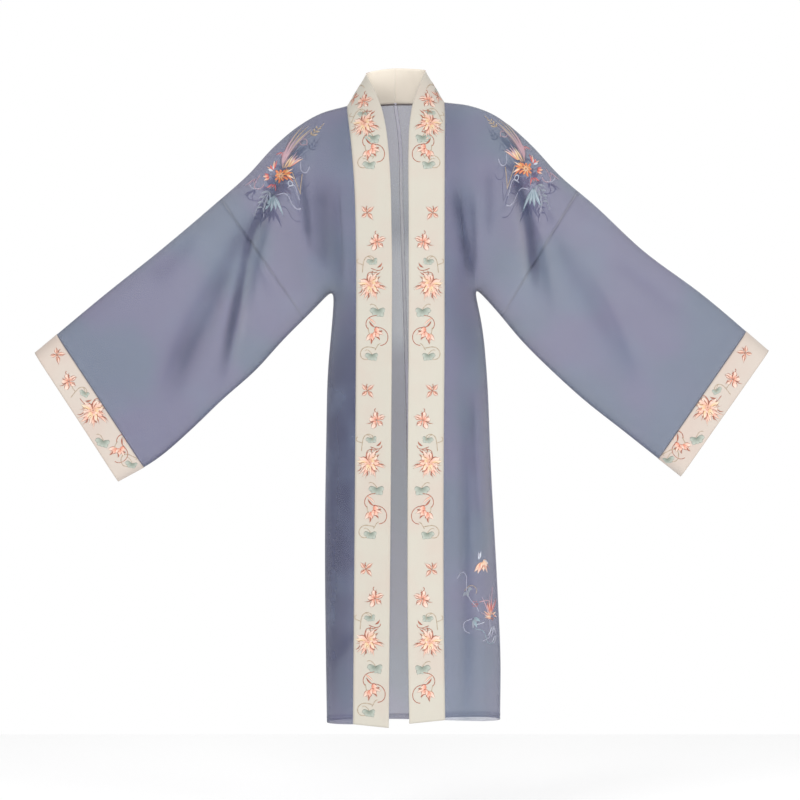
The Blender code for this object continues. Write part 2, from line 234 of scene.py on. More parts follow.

# Main folds, which the frame's solids have too, and after them the finer creases of the cloth.
# Columns: width, height, path, lean, density (darkens the cloth, in creases as painted shade; below zero
# it lightens it, on ridges as painted highlight), flare.
FOLDS = {
    (Side.RIGHT, Face.FRONT): (
        Fold(0.020, -0.012, ((0.205, -0.075), (0.274, -0.214), (0.306, -0.344), (0.334, -0.504),
             (0.354, -0.554))),
        Fold(0.028, -0.009, ((0.318, -0.244), (0.368, -0.384), (0.448, -0.524), (0.498, -0.604))),
        Fold(0.028, 0.006, ((0.290, -0.250), (0.340, -0.400), (0.400, -0.560))),
        Fold(0.026, -0.010, ((0.172, -0.150), (0.164, -0.240), (0.160, -0.320))),
        # The sharp crease of the right sleeve: dark as painted shade, with a lighter ridge beside it as
        # painted highlight.
        Fold(0.007, -0.009, ((0.196, -0.050), (0.236, -0.140), (0.270, -0.210), (0.292, -0.254),
             (0.304, -0.304), (0.314, -0.360), (0.328, -0.430), (0.350, -0.540)), 0.5, 1.35, 0.3),
        Fold(0.007, 0.005, ((0.226, -0.150), (0.262, -0.218), (0.284, -0.262), (0.296, -0.306),
             (0.304, -0.360), (0.312, -0.430), (0.330, -0.530)), 0.0, -0.45, 0.4),
        Fold(0.012, -0.006, ((0.290, -0.200), (0.330, -0.290), (0.372, -0.390), (0.424, -0.500),
             (0.450, -0.580)), 0.4, 0.7, 1.0),
        Fold(0.010, 0.004, ((0.318, -0.310), (0.346, -0.400), (0.372, -0.500),
             (0.380, -0.560)), 0.0, 0.0, 1.0),
        Fold(0.008, -0.003, ((0.300, -0.270), (0.280, -0.320), (0.256, -0.370)), 0.4, 0.35),
        Fold(0.016, -0.004, ((0.400, -0.250), (0.440, -0.300), (0.500, -0.350)), 0.0, 0.35, 0.5),
        Fold(0.007, -0.004, ((0.196, -0.110), (0.184, -0.194), (0.176, -0.280)), 0.6, 0.7),
        Fold(0.022, -0.006, ((0.156, -0.140), (0.154, -0.240), (0.146, -0.350)), 0.3, 0.5),
        Fold(0.010, -0.005, ((0.134, -0.560), (0.130, -0.800), (0.132, -1.230)), 0.0, 0.5),
        Fold(0.010, -0.004, ((0.090, -1.040), (0.112, -1.080), (0.140, -1.110)), 0.5, 0.4),
    ),
    (Side.RIGHT, Face.BACK): (
        Fold(0.024, -0.012, ((0.190, -0.100), (0.240, -0.240), (0.270, -0.400))),
        Fold(0.028, -0.009, ((0.300, -0.220), (0.400, -0.400), (0.480, -0.580))),
        Fold(0.024, -0.010, ((0.100, -0.160), (0.092, -0.260), (0.084, -0.380))),
        Fold(0.024, -0.010, ((0.060, -0.700), (0.066, -0.950), (0.070, -1.240))),
        Fold(0.008, -0.006, ((0.200, -0.090), (0.262, -0.230), (0.300, -0.400)), 0.7, 0.8),
        Fold(0.010, -0.004, ((0.350, -0.300), (0.430, -0.440), (0.470, -0.560)), 0.4, 0.4),
        Fold(0.009, -0.005, ((0.126, -0.150), (0.122, -0.260), (0.118, -0.360)), 0.5, 0.6),
        Fold(0.010, -0.005, ((0.100, -0.560), (0.108, -0.850), (0.112, -1.240)), 0.4, 0.4),
        Fold(0.010, -0.004, ((0.024, -0.760), (0.026, -1.000), (0.028, -1.240)), 0.3, 0.3),
        Fold(0.050, 0.002, ((0.000, 0.100), (-0.005, -0.060), (-0.010, -0.240)), 0.0, -0.32),
        Fold(0.050, 0.001, ((-0.002, -0.240), (-0.006, -0.380), (-0.008, -0.500)), 0.0, -0.52),
    ),
    (Side.LEFT, Face.FRONT): (
        Fold(0.020, -0.013, ((0.232, -0.130), (0.252, -0.220), (0.262, -0.280), (0.270, -0.360))),
        Fold(0.032, -0.008, ((0.400, -0.262), (0.490, -0.330), (0.590, -0.420))),
        Fold(0.026, -0.006, ((0.290, -0.300), (0.370, -0.440), (0.440, -0.560))),
        Fold(0.024, -0.009, ((0.112, -0.150), (0.122, -0.220), (0.130, -0.290))),
        Fold(0.020, -0.010, ((0.132, -0.440), (0.146, -0.640), (0.138, -0.880),
             (0.134, -1.240)), density=0.15),
        # The sharp crease of the left sleeve: dark as painted shade, with a lighter ridge beside it as
        # painted highlight.
        Fold(0.008, -0.009, ((0.226, -0.110), (0.236, -0.160), (0.254, -0.230), (0.262, -0.290),
             (0.272, -0.370)), -0.5, 1.3, 0.4),
        Fold(0.008, 0.005, ((0.224, -0.170), (0.242, -0.235), (0.248, -0.290),
             (0.254, -0.360)), 0.0, -0.4, 0.5),
        Fold(0.016, 0.003, ((0.158, -0.380), (0.172, -0.560), (0.184, -0.800),
             (0.190, -1.000)), 0.0, -0.5),
        Fold(0.008, -0.004, ((0.132, -0.640), (0.136, -0.840), (0.134, -1.060),
             (0.130, -1.240)), 0.0, 0.5),
        Fold(0.014, -0.005, ((0.300, -0.220), (0.350, -0.330), (0.420, -0.450),
             (0.470, -0.540)), 0.3, 0.45, 1.0),
        Fold(0.007, -0.003, ((0.282, -0.160), (0.294, -0.190), (0.308, -0.240)), 0.4, 0.4),
        Fold(0.007, -0.005, ((0.112, -0.160), (0.132, -0.260), (0.150, -0.350)), 0.7, 0.8),
        Fold(0.006, -0.004, ((0.146, -0.170), (0.150, -0.255), (0.152, -0.340)), 0.7, 0.7),
        Fold(0.010, -0.003, ((0.178, -0.120), (0.180, -0.190), (0.178, -0.260)), 0.0, 0.4),
        Fold(0.014, -0.003, ((0.420, -0.300), (0.500, -0.360), (0.560, -0.420)), 0.0, 0.2),
        Fold(0.006, 0.005, ((0.114, -0.660), (0.116, -0.900), (0.116, -1.230))),
        Fold(0.006, 0.005, ((0.164, -0.700), (0.168, -0.950), (0.170, -1.230))),
        Fold(0.009, -0.004, ((0.146, -0.560), (0.152, -0.740), (0.164, -0.860)), 0.5, 0.5),
    ),
    (Side.LEFT, Face.BACK): (
        Fold(0.024, -0.012, ((0.200, -0.100), (0.250, -0.240), (0.280, -0.400))),
        Fold(0.028, -0.009, ((0.310, -0.220), (0.410, -0.400), (0.490, -0.580))),
        Fold(0.024, -0.010, ((0.100, -0.160), (0.092, -0.260), (0.084, -0.380))),
        Fold(0.024, -0.010, ((0.085, -0.640), (0.090, -0.900), (0.096, -1.240))),
        Fold(0.050, 0.002, ((0.000, 0.100), (0.005, -0.060), (0.010, -0.240)), 0.0, -0.32),
        Fold(0.050, 0.001, ((0.002, -0.240), (0.006, -0.380), (0.008, -0.500)), 0.0, -0.52),
        Fold(0.008, -0.006, ((0.210, -0.090), (0.272, -0.230), (0.310, -0.400)), 0.7, 0.8),
        Fold(0.010, -0.004, ((0.360, -0.300), (0.440, -0.440), (0.480, -0.560)), 0.4, 0.4),
        Fold(0.009, -0.005, ((0.136, -0.150), (0.132, -0.260), (0.128, -0.360)), 0.5, 0.6),
        Fold(0.010, -0.005, ((0.130, -0.560), (0.140, -0.850), (0.150, -1.240)), 0.4, 0.4),
        Fold(0.010, -0.004, ((0.046, -0.760), (0.050, -1.000), (0.054, -1.240)), 0.3, 0.3),
    ),
}


def length_along(points: Array) -> Array:
    """Length of a line of points from its first to each of them."""
    return np.concatenate([[0], np.cumsum(np.linalg.norm(np.diff(points, axis=0), axis=1))])


def unit(vectors: Array) -> Array:
    """Vectors of length one with the ways of those along the last axis."""
    return vectors / np.maximum(np.linalg.norm(vectors, axis=-1, keepdims=True), 1e-12)


def cubic(knots: Array, values: Array, slopes: Array, at: Array) -> Array:
    """Cubic through rows of values with a slope at each: t runs from 0 to 1 between two knots.

    Args:
        knots: Place of each row.
        values: Columns of the rows.
        slopes: Slope of each column at each row.
        at: Places wanted.

    Returns:
        One row of columns for each place wanted.
    """
    i = np.clip(np.searchsorted(knots, at, side="right") - 1, 0, len(knots) - 2)
    h = (knots[i + 1] - knots[i])[:, None]
    t = ((at - knots[i]) / h[:, 0])[:, None]
    return ((1 + 2 * t) * (1 - t) ** 2 * values[i] + t * (1 - t) ** 2 * h * slopes[i]
            + t * t * (3 - 2 * t) * values[i + 1] + t * t * (t - 1) * h * slopes[i + 1])


def curve_through(knots: Any, values: Any, at: Any) -> Array:
    """Smooth curve through the rows of a table that never overshoots between two of them.

    Each stretch is the cubic with the rows' values and, at each row, the harmonic mean of the slopes
    on its two sides, or zero where they change sign.

    Args:
        knots: Place of each row.
        values: Columns of the rows.
        at: Places wanted.

    Returns:
        One row of columns for each place wanted.
    """
    knots = np.asarray(knots, float)
    values = np.asarray(values, float).reshape(len(knots), -1)
    slope = np.diff(values, axis=0) / np.diff(knots)[:, None]
    same_way = slope[1:] * slope[:-1] > 0
    total = np.where(same_way, slope[1:] + slope[:-1], 1)
    joined = np.where(same_way, 2 * slope[1:] * slope[:-1] / total, 0)
    slopes = np.vstack([slope[:1], joined, slope[-1:]])
    return cubic(knots, values, slopes, np.clip(np.asarray(at, float), knots[0], knots[-1]))


def points_along(path: Any, fractions: Any) -> Array:
    """Points of the smooth curve through a path's corners, at fractions of its length.

    Args:
        path: Corners, two columns.
        fractions: Fractions of the length, from 0 to 1.

    Returns:
        One point for each fraction.
    """
    rows = np.asarray(path, float)
    knots = length_along(rows)
    at = np.linspace(0, knots[-1], PATH_SAMPLES * (len(rows) - 1) + 1)
    fine = cubic(knots, rows, np.gradient(rows, knots, axis=0), at)
    length = length_along(fine)
    wanted = np.clip(fractions, 0, 1) * length[-1]
    return np.stack([np.interp(wanted, length, fine[:, k]) for k in range(2)], axis=1)


def quarter_round(t: Array) -> Array:
    """Quarter circle that leaves its edge square and lies flat from t = 1 on."""
    return np.sqrt(np.maximum(0, 1 - (1 - np.clip(t, 0, 1)) ** 2))


def distance_from(line: Array, x: Array, z: Array) -> Array:
    """Distance of points of the front view from a line of many short steps."""
    start, way = line[:-1], np.diff(line, axis=0)
    gap_x = x[..., None] - start[:, 0]
    gap_z = z[..., None] - start[:, 1]
    share = np.clip((gap_x * way[:, 0] + gap_z * way[:, 1]) / (way ** 2).sum(1), 0, 1)
    return np.hypot(gap_x - share * way[:, 0], gap_z - share * way[:, 1]).min(-1)


def rib_number(name: str) -> int:
    """Number of a named rib, counted from the cuff's edge."""
    names = list(RIBS)
    return int(sum(row[-1] for row in list(RIBS.values())[:names.index(name)]))


def rib_values(table: dict[str, tuple], numbers: Array, columns: int) -> Array:
    """Columns of a table of named ribs, read at whole or part rib numbers."""
    knots = [rib_number(name) for name in table]
    return curve_through(knots, [row[:columns] for row in table.values()], numbers)


def places_across(count: int, crowding: float = 0.95) -> Array:
    """Places from 0 to 1 that lie closer together near both ends."""
    even = np.linspace(0, 1, count + 1)
    return even + crowding * ((1 - np.cos(even * math.pi)) / 2 - even)


def inset(points: Array, axis: int, end: int, distance: Any) -> None:
    """Moves one edge row or column of a grid inwards by a distance measured square to the edge.

    Args:
        points: Grid of points, changed in place.
        axis: 0 for an edge row, 1 for an edge column.
        end: 0 for the first, -1 for the last.
        distance: One distance, or one for each point of the edge.
    """
    edge = np.moveaxis(points, axis, 0)
    next_one = 1 if end == 0 else -2
    way = unit(edge[next_one] - edge[end])
    along = unit(np.gradient(edge[end], axis=0))
    square = np.sqrt(1 - (way * along).sum(-1, keepdims=True) ** 2)
    edge[end] += way / np.maximum(square, STEEPEST_INSET) * np.reshape(distance, (-1, 1))


@dataclass
class RobeHalf:
    """Surface of one half of the robe: ribs that run from a top path to an under path."""

    side: Side
    ripple_height: float = 0.0009
    ripple_seed: int = 5
    ripple_waves: int = 7
    ripple_across: tuple[float, float] = (14, 60)
    ripple_down: tuple[float, float] = (-9, 9)
    ripple_phase: float = 6.3
    under_place: Array = field(init=False)
    under: Array = field(init=False)

    def __post_init__(self) -> None:
        """Works out the under path once, with its corner at the armpit rounded."""
        pattern = PATTERNS[self.side]
        self.under_place = np.linspace(-1, 1, 2 * UNDER_SAMPLES + 1)
        line = self.two_part_path(pattern.underarm, pattern.side_seam, self.under_place)
        for _ in range(ARMPIT_ROUNDING):
            line[1:-1] = (line[:-2] + 2 * line[1:-1] + line[2:]) / 4
        self.under = line

    def two_part_path(self, outer: Path, inner: Path, place: Array) -> Array:
        """Points in the front view: places below zero lie on `outer`, the others on `inner`."""
        out = points_along(outer, np.clip(-place, 0, 1))
        body = points_along(inner, np.clip(place, 0, 1))
        return np.where((place < 0)[:, None], out, body) * (self.side.value, 1)

    def back_path(self, place: Array) -> Array:
        """Points on the top path of the back sheet: ridge, neckline, then the centre back."""
        pattern = PATTERNS[self.side]
        out = points_along(pattern.ridge, np.clip(-place, 0, 1)) * (self.side.value, 1)
        neck = points_along(pattern.neckline, np.clip(place, 0, 1))
        down = points_along(CENTRE_BACK, np.clip(place - 1, 0, 1))
        top = np.where((place < 0)[:, None], out, neck)
        return np.where((place > 1)[:, None], down, top)

    def ridge_height(self, x: Array) -> Array:
        """Height of the shoulder's ridge at x, carried on as a low dome over the neck opening."""
        ridge = points_along(PATTERNS[self.side].ridge, np.linspace(0, 1, PATH_SAMPLES * 4))
        out = x * self.side.value
        middle = CENTRE_BACK[0][0] * self.side.value
        from_middle = (out - middle) / (ridge[0, 0] - middle)
        over_neck = NECK_DOME + (ridge[0, 1] - NECK_DOME) * from_middle ** 2
        return np.where(out < ridge[0, 0], over_neck, np.interp(out, ridge[:, 0], ridge[:, 1]))

    def folds(self, face: Face, x: Array, z: Array) -> tuple[Array, Array]:
        """Height and gathering of all the folds of one sheet, with their painted shade, at points of the
        front view.

        Each fold is height * exp(-(d / width)^2) of the distance d from its path, faded over the
        path's first and last quarter, and leaned by a share of d / width with its sign. Its
        gathering, which also paints shade into a crease, is the same bell, narrower on the steeper flank.

        Args:
            face: The sheet.
            x: Points' x.
            z: Points' height.

        Returns:
            Height of the folds, and how dense the cloth is there with painted shade and highlights, from 0
            to about 1.
        """
        height, gathered_and_shade = np.zeros(x.shape), np.zeros(x.shape)
        for fold in FOLDS[self.side, face]:
            line = points_along(fold.path, np.linspace(0, 1, FOLD_SAMPLES)) * (self.side.value, 1)
            gap_x, gap_z = x[..., None] - line[:, 0], z[..., None] - line[:, 1]
            far = np.hypot(gap_x, gap_z)
            nearest = far.argmin(-1)
            place = nearest / (FOLD_SAMPLES - 1)
            way = np.gradient(line, axis=0)[nearest]
            near_x = np.take_along_axis(gap_x, nearest[..., None], -1)[..., 0]
            near_z = np.take_along_axis(gap_z, nearest[..., None], -1)[..., 0]
            handed = np.sign(way[..., 0] * near_z - way[..., 1] * near_x)
            d = far.min(-1) / (fold.width * (1 + fold.flare * place))
            from_end = np.minimum(place / FOLD_FADE, (1 - place) / FOLD_FADE)
            fade = np.minimum(1, from_end + FOLD_END)
            bell = fade * np.exp(-d ** 2)
            height += fold.height * bell * (1 + fold.lean * handed * np.minimum(d, LEAN_REACH))
            shade = fade * np.exp(-(d * (1 + SHADE_LEAN * fold.lean * handed)) ** 2)
            gathered_and_shade += fold.density * shade
        return height, gathered_and_shade

    def ripples(self, x: Array, z: Array, face: Face) -> Array:
        """Slight unevenness of hanging cloth: a few long waves with seeded ways and phases."""
        rng = np.random.default_rng(self.ripple_seed + 2 * self.side.value + face.value)
        total = np.zeros(x.shape)
        for _ in range(self.ripple_waves):
            wave_x, wave_z = rng.uniform(*self.ripple_across), rng.uniform(*self.ripple_down)
            total += np.sin(wave_x * x + wave_z * z + rng.uniform(0, self.ripple_phase))
        return total * self.ripple_height / 2

    def sheet(self, face: Face, numbers: Array, across: Array) -> tuple[Array, Array]:
        """Points of the front or back sheet.

        A rib is the straight line in the front view between its two ends, bent clear of the armpit.
        Its depth is two quarter rounds multiplied, one down from the ridge, one in from the under
        path, so that the sheet rises square from both, plus the folds in the same measure.

        Args:
            face: The sheet.
            numbers: Rib numbers, a row each.
            across: Places from the top path (0) to the under path (1), a column each.

        Returns:
            Points [rib, place, 3], and how dense the cloth is at each, with painted shade and light.
        """
        sign = self.side.value
        pattern = PATTERNS[self.side]
        top_place, back_place, under_place, bow = rib_values(RIBS, numbers, 4).T
        front, back, top_roll, under_roll, loss, forward = rib_values(FORM, numbers, 6).T[:, :, None]
        if face is Face.FRONT:
            top = self.two_part_path(pattern.ridge, pattern.band_seam, top_place)
            depth = front
            bend = across * (1 - across) * (2 * across - 1)
        else:
            top = self.back_path(back_place)
            depth = back
            bend = BACK_BOW * across ** 2 * (1 - across)
        under = np.stack([np.interp(under_place, self.under_place, self.under[:, k])
                          for k in range(2)], axis=1)
        view = top[:, None] * (1 - across)[:, None] + under[:, None] * across[:, None]
        x = view[..., 0] - sign * bow[:, None] * bend
        z = view[..., 1]
        below_ridge = np.maximum(0, self.ridge_height(x) - z)
        from_under = distance_from(self.under, x, z)
        on_edge = ((top_place <= 0)[:, None] & (across == 0)) | (across == 1)
        swell = quarter_round(below_ridge / top_roll) * quarter_round(from_under / under_roll)
        swell = np.where(on_edge, 0, swell * (1 - loss * across))
        height, gathered_and_shade = self.folds(face, x, z)
        outward = (depth + height + self.ripples(x, z, face)) * swell
        y = outward * face.value - forward
        column = 2 if face is Face.BACK else int(self.side is Side.LEFT)
        # Fullness also paints shade and light: darker and lighter stretches of the fronts and backs.
        fullness_and_shade = rib_values(FULLNESS_AND_SHADE, numbers, 3)[:, column:column + 1]
        seam = UNDER_GATHERED * np.exp(-(from_under / UNDER_REACH) ** 2)
        pressed = RIDGE_GATHERED * np.exp(-(below_ridge / RIDGE_REACH) ** 2)
        return np.stack([x, y, z], axis=2), gathered_and_shade + fullness_and_shade + seam + pressed

    def top_edge(self, face: Face, numbers: Array) -> Array:
        """Points where the ribs of a sheet start: the ridge, then the band's seam or the back's."""
        return self.sheet(face, numbers, np.array([0.0]))[0][:, 0]

    def even_ribs(self, first: str, last: str, step: float) -> Array:
        """Rib numbers from one named rib to another, so spaced that they lie about `step` apart."""
        start, end = rib_number(first), rib_number(last)
        fine = np.linspace(start, end, int((end - start) * RIB_SAMPLES) + 2)
        length = np.zeros(len(fine))
        for face in Face:
            points, _ = self.sheet(face, fine, np.array([0.0, 0.5, 1.0]))
            gaps = np.linalg.norm(np.diff(points, axis=0), axis=2).mean(1)
            length[1:] += np.cumsum(gaps) / 2
        count = max(2, int(math.ceil(length[-1] / step)) + 1)
        return np.interp(np.linspace(0, length[-1], count), length, fine)

    def loop(self, numbers: Array, columns: int) -> "Patch":
        """Front sheet, then back sheet round the under path, as one grid."""
        across = places_across(columns)
        front, front_gathered_and_shade = self.sheet(Face.FRONT, numbers, across)
        back, back_gathered_and_shade = self.sheet(Face.BACK, numbers, across)
        points = np.concatenate([front, back[:, -2::-1]], axis=1)
        gathered_and_shade = np.concatenate([front_gathered_and_shade, back_gathered_and_shade[:, -2::-1]], axis=1)
        return Patch(points, gathered_and_shade, numbers <= rib_number("side_neck"))


def grid_at(grid: Array, rows: Array, columns: Array) -> Array:
    """Values of a grid between its points, in straight shares of the four around each."""
    rows = np.clip(rows, 0, grid.shape[0] - 1.001)
    columns = np.clip(columns, 0, grid.shape[1] - 1.001)
    i, j = rows.astype(int), columns.astype(int)
    s, t = (rows - i)[..., None], (columns - j)[..., None]
    return ((grid[i, j] * (1 - s) + grid[i + 1, j] * s) * (1 - t)
            + (grid[i, j + 1] * (1 - s) + grid[i + 1, j + 1] * s) * t)


def upright(normals: Array) -> tuple[Array, Array]:
    """Right and up ways on a surface: up is the world's up laid into it, right is square to both."""
    up = unit(np.array([0.0, 0.0, 1.0]) - normals * normals[:, 2:3])
    return np.cross(up, normals), up


@dataclass
class Patch:
    """Grid of points on a surface, with what is needed to sew something onto it."""

    points: Array
    gathered_and_shade: Array
    closed: Array
    normals: Array = field(init=False)

    def __post_init__(self) -> None:
        """Normals are the cross product of the grid's two ways, turned to face out.

        Between an eighth and a third of the columns the grid is on the front, so they face -Y there.
        """
        normals = unit(np.cross(np.gradient(self.points, axis=0), np.gradient(self.points, axis=1)))
        columns = self.points.shape[1]
        middle = normals[:, columns // 8:max(columns // 3, columns // 8 + 1)]
        self.normals = normals if middle[..., 1].mean() < 0 else -normals

    def lifted(self, height: float, rows: slice = slice(None),
               columns: slice = slice(None)) -> "Patch":
        """Part of the patch, moved along its normals."""
        points = self.points[rows, columns] + self.normals[rows, columns] * height
        whole_ring = columns == slice(None)
        closed = self.closed[rows] if whole_ring else np.zeros(len(points), bool)
        return Patch(points, self.gathered_and_shade[rows, columns], closed)

    def weave_map(self) -> Array:
        """Lengths along the rows and down the columns, in metres."""
        across = np.linalg.norm(np.diff(self.points, axis=1), axis=2)
        down = np.linalg.norm(np.diff(self.points, axis=0), axis=2)
        u = np.concatenate([np.zeros((len(self.points), 1)), across.cumsum(1)], axis=1)
        v = np.concatenate([np.zeros((1, self.points.shape[1])), down.cumsum(0)], axis=0)
        return np.stack([u, v], axis=2)

    def area(self) -> float:
        """Area of the surface, as the sum of its cells' cross products."""
        along = np.diff(self.points, axis=1)[:-1]
        down = np.diff(self.points, axis=0)[:, :-1]
        return float(np.linalg.norm(np.cross(along, down), axis=2).sum())

    def seen_at(self, x: float, z: float, face: Face = Face.FRONT) -> tuple[float, float]:
        """Row and column of the place that shows at x and z on the plane y = 0 from the front.

        Args:
            x: Place across.
            z: Height.
            face: FRONT for the side nearer the camera, BACK for the side away from it.

        Returns:
            Row and column of the nearest grid point.
        """
        eye = np.array(Studio.EYE)
        share = -eye[1] / (self.points[..., 1] - eye[1])
        view_x = eye[0] + (self.points[..., 0] - eye[0]) * share
        view_z = eye[2] + (self.points[..., 2] - eye[2]) * share
        far = np.hypot(view_x - x, view_z - z)
        far = np.where(self.normals[..., 1] * face.value > 0, far, far + 1)
        row, column = np.unravel_index(far.argmin(), far.shape)
        return float(row), float(column)

    def sewn_on(self, anchors: Array, turns: Array, flips: Array, local: Array) -> Array:
        """Points of things that lie on the surface.

        At its anchor each thing has an up way, the world's up laid into the surface, and a right
        way square to it. A step in these ways becomes a step in rows and columns through the
        grid's own ways there, and the height goes along the normal.

        Args:
            anchors: Row and column of each thing.
            turns: Turn of each, in radians, anticlockwise from outside.
            flips: -1 for a mirrored one, 1 for the others.
            local: Points [thing, point, 3]: right, up, height.

        Returns:
            Points [thing, point, 3] in the world.
        """
        rows, columns = anchors.T
        i, j = rows.astype(int), columns.astype(int)
        down = np.gradient(self.points, axis=0)[i, j]
        along = np.gradient(self.points, axis=1)[i, j]
        right, up = upright(self.normals[i, j])
        back = np.linalg.pinv(np.stack([down, along], axis=2))
        x, y = local[..., 0] * flips[:, None], local[..., 1]
        cos, sin = np.cos(turns)[:, None], np.sin(turns)[:, None]
        to_right, to_up = x * cos - y * sin, x * sin + y * cos
        step = to_right[..., None] * right[:, None] + to_up[..., None] * up[:, None]
        cells = np.einsum("aij,akj->aki", back, step)
        at_rows, at_columns = rows[:, None] + cells[..., 0], columns[:, None] + cells[..., 1]
        base = grid_at(self.points, at_rows, at_columns)
        return base + unit(grid_at(self.normals, at_rows, at_columns)) * local[..., 2:3]


class Signal:
    """Value of a shader socket, on which Python's operators add Math nodes."""

    def __init__(self, nodes: "ShaderNodes", socket: Any) -> None:
        """Keeps the socket and the tree that it is in."""
        self.nodes = nodes
        self.socket = socket

    def maths(self, operation: str, first: Any, second: Any = 0.0) -> "Signal":
        """Adds one Math node of two values."""
        return self.nodes.value("ShaderNodeMath", {"operation": operation}, {0: first, 1: second})

    def __add__(self, other: Any) -> "Signal":
        """Sum."""
        return self.maths("ADD", self, other)

    def __radd__(self, other: Any) -> "Signal":
        """Sum with a number first."""
        return self.maths("ADD", other, self)

    def __sub__(self, other: Any) -> "Signal":
        """Difference."""
        return self.maths("SUBTRACT", self, other)

    def __rsub__(self, other: Any) -> "Signal":
        """Difference from a number."""
        return self.maths("SUBTRACT", other, self)

    def __mul__(self, other: Any) -> "Signal":
        """Product."""
        return self.maths("MULTIPLY", self, other)

    def __rmul__(self, other: Any) -> "Signal":
        """Product with a number first."""
        return self.maths("MULTIPLY", other, self)

    def __abs__(self) -> "Signal":
        """Size without its sign."""
        return self.maths("ABSOLUTE", self)

    def above(self, low: float, high: float) -> "Signal":
        """0 below `low`, 1 above `high`, and a smooth rise between them."""
        return self.nodes.value("ShaderNodeMapRange", {"interpolation_type": "SMOOTHSTEP"},
                                {"Value": self, "From Min": low, "From Max": high})


class ShaderNodes:
    """Node tree of one material."""

    def __init__(self, name: str) -> None:
        """Makes the material and finds its shader."""
        self.material = bpy.data.materials.new(name)
        self.material.use_nodes = True
        self.tree = self.material.node_tree
        self.shader = self.tree.nodes["Principled BSDF"]

    def connect(self, target: Any, value: Any) -> None:
        """Links a socket, or sets its constant."""
        if isinstance(value, Signal):
            self.tree.links.new(value.socket, target)
        elif isinstance(value, tuple) and target.type == "RGBA":
            target.default_value = (*value, 1.0)
        else:
            target.default_value = value

    def add(self, kind: str, settings: dict[str, Any], inputs: dict[Any, Any]) -> Any:
        """Adds a node of a type, with its settings first and its sockets' values or links after."""
        made = self.tree.nodes.new(kind)
        for setting, value in settings.items():
            setattr(made, setting, value)
        for socket, value in inputs.items():
            self.connect(made.inputs[socket], value)
        return made

    def value(self, kind: str, settings: dict[str, Any], inputs: dict[Any, Any],
              output: Any = 0) -> Signal:
        """Adds a node and returns one of its outputs."""
        return Signal(self, self.add(kind, settings, inputs).outputs[output])

    def mixed(self, share: Any, first: Any, second: Any) -> Signal:
        """Colour between two."""
        return self.value("ShaderNodeMix", {"data_type": "RGBA"}, {0: share, 6: first, 7: second}, 2)

    def place(self) -> Signal:
        """Place on the robe, in metres."""
        return self.value("ShaderNodeTexCoord", {}, {}, "Object")

    def flat_map(self, name: str) -> Signal:
        """Map that follows the surface."""
        return self.value("ShaderNodeUVMap", {"uv_map": name}, {}, "UV")

    def attribute(self, name: str, output: str) -> Signal:
        """Value or colour that the mesh has at each point."""
        return self.value("ShaderNodeAttribute", {"attribute_name": name}, {}, output)

    def noise(self, place: Signal, scale: float, detail: float = 2.0) -> Signal:
        """Cloudy value from 0 to 1."""
        return self.value("ShaderNodeTexNoise", {},
                          {"Vector": place, "Scale": scale, "Detail": detail})

    def threads(self, flat_map: Signal, way: str, scale: float) -> Signal:
        """Even waves across one way of a map."""
        return self.value("ShaderNodeTexWave", {"bands_direction": way},
                          {"Vector": flat_map, "Scale": scale}, "Fac")

    def bump(self, height: Signal, strength: float, distance: float) -> Signal:
        """Normal of a surface with a height over it."""
        return self.value("ShaderNodeBump", {}, {"Strength": strength, "Distance": distance,
                                                 "Height": height}, "Normal")

    def parts(self, vector: Signal) -> list[Signal]:
        """The three parts of a vector."""
        split = self.add("ShaderNodeSeparateXYZ", {}, {0: vector})
        return [Signal(self, output) for output in split.outputs]

    def set(self, **inputs: Any) -> None:
        """Sets the shader's own sockets, whose names have underscores for spaces."""
        for name, value in inputs.items():
            self.connect(self.shader.inputs[name.replace("_", " ")], value)


# Scale of a Wave texture that repeats once in a metre, and the colour layers of the floss.
WAVE_SCALE = 2 * math.pi / 20
DYE_PARTS = ("heart", "tip", "outline")


def linear(colour: Colour) -> Colour:
    """Linear value of a display colour of 0 to 255 a channel."""
    parts = [c / 255 for c in colour]
    return tuple(c / 12.92 if c <= 0.04045 else ((c + 0.055) / 1.055) ** 2.4 for c in parts)


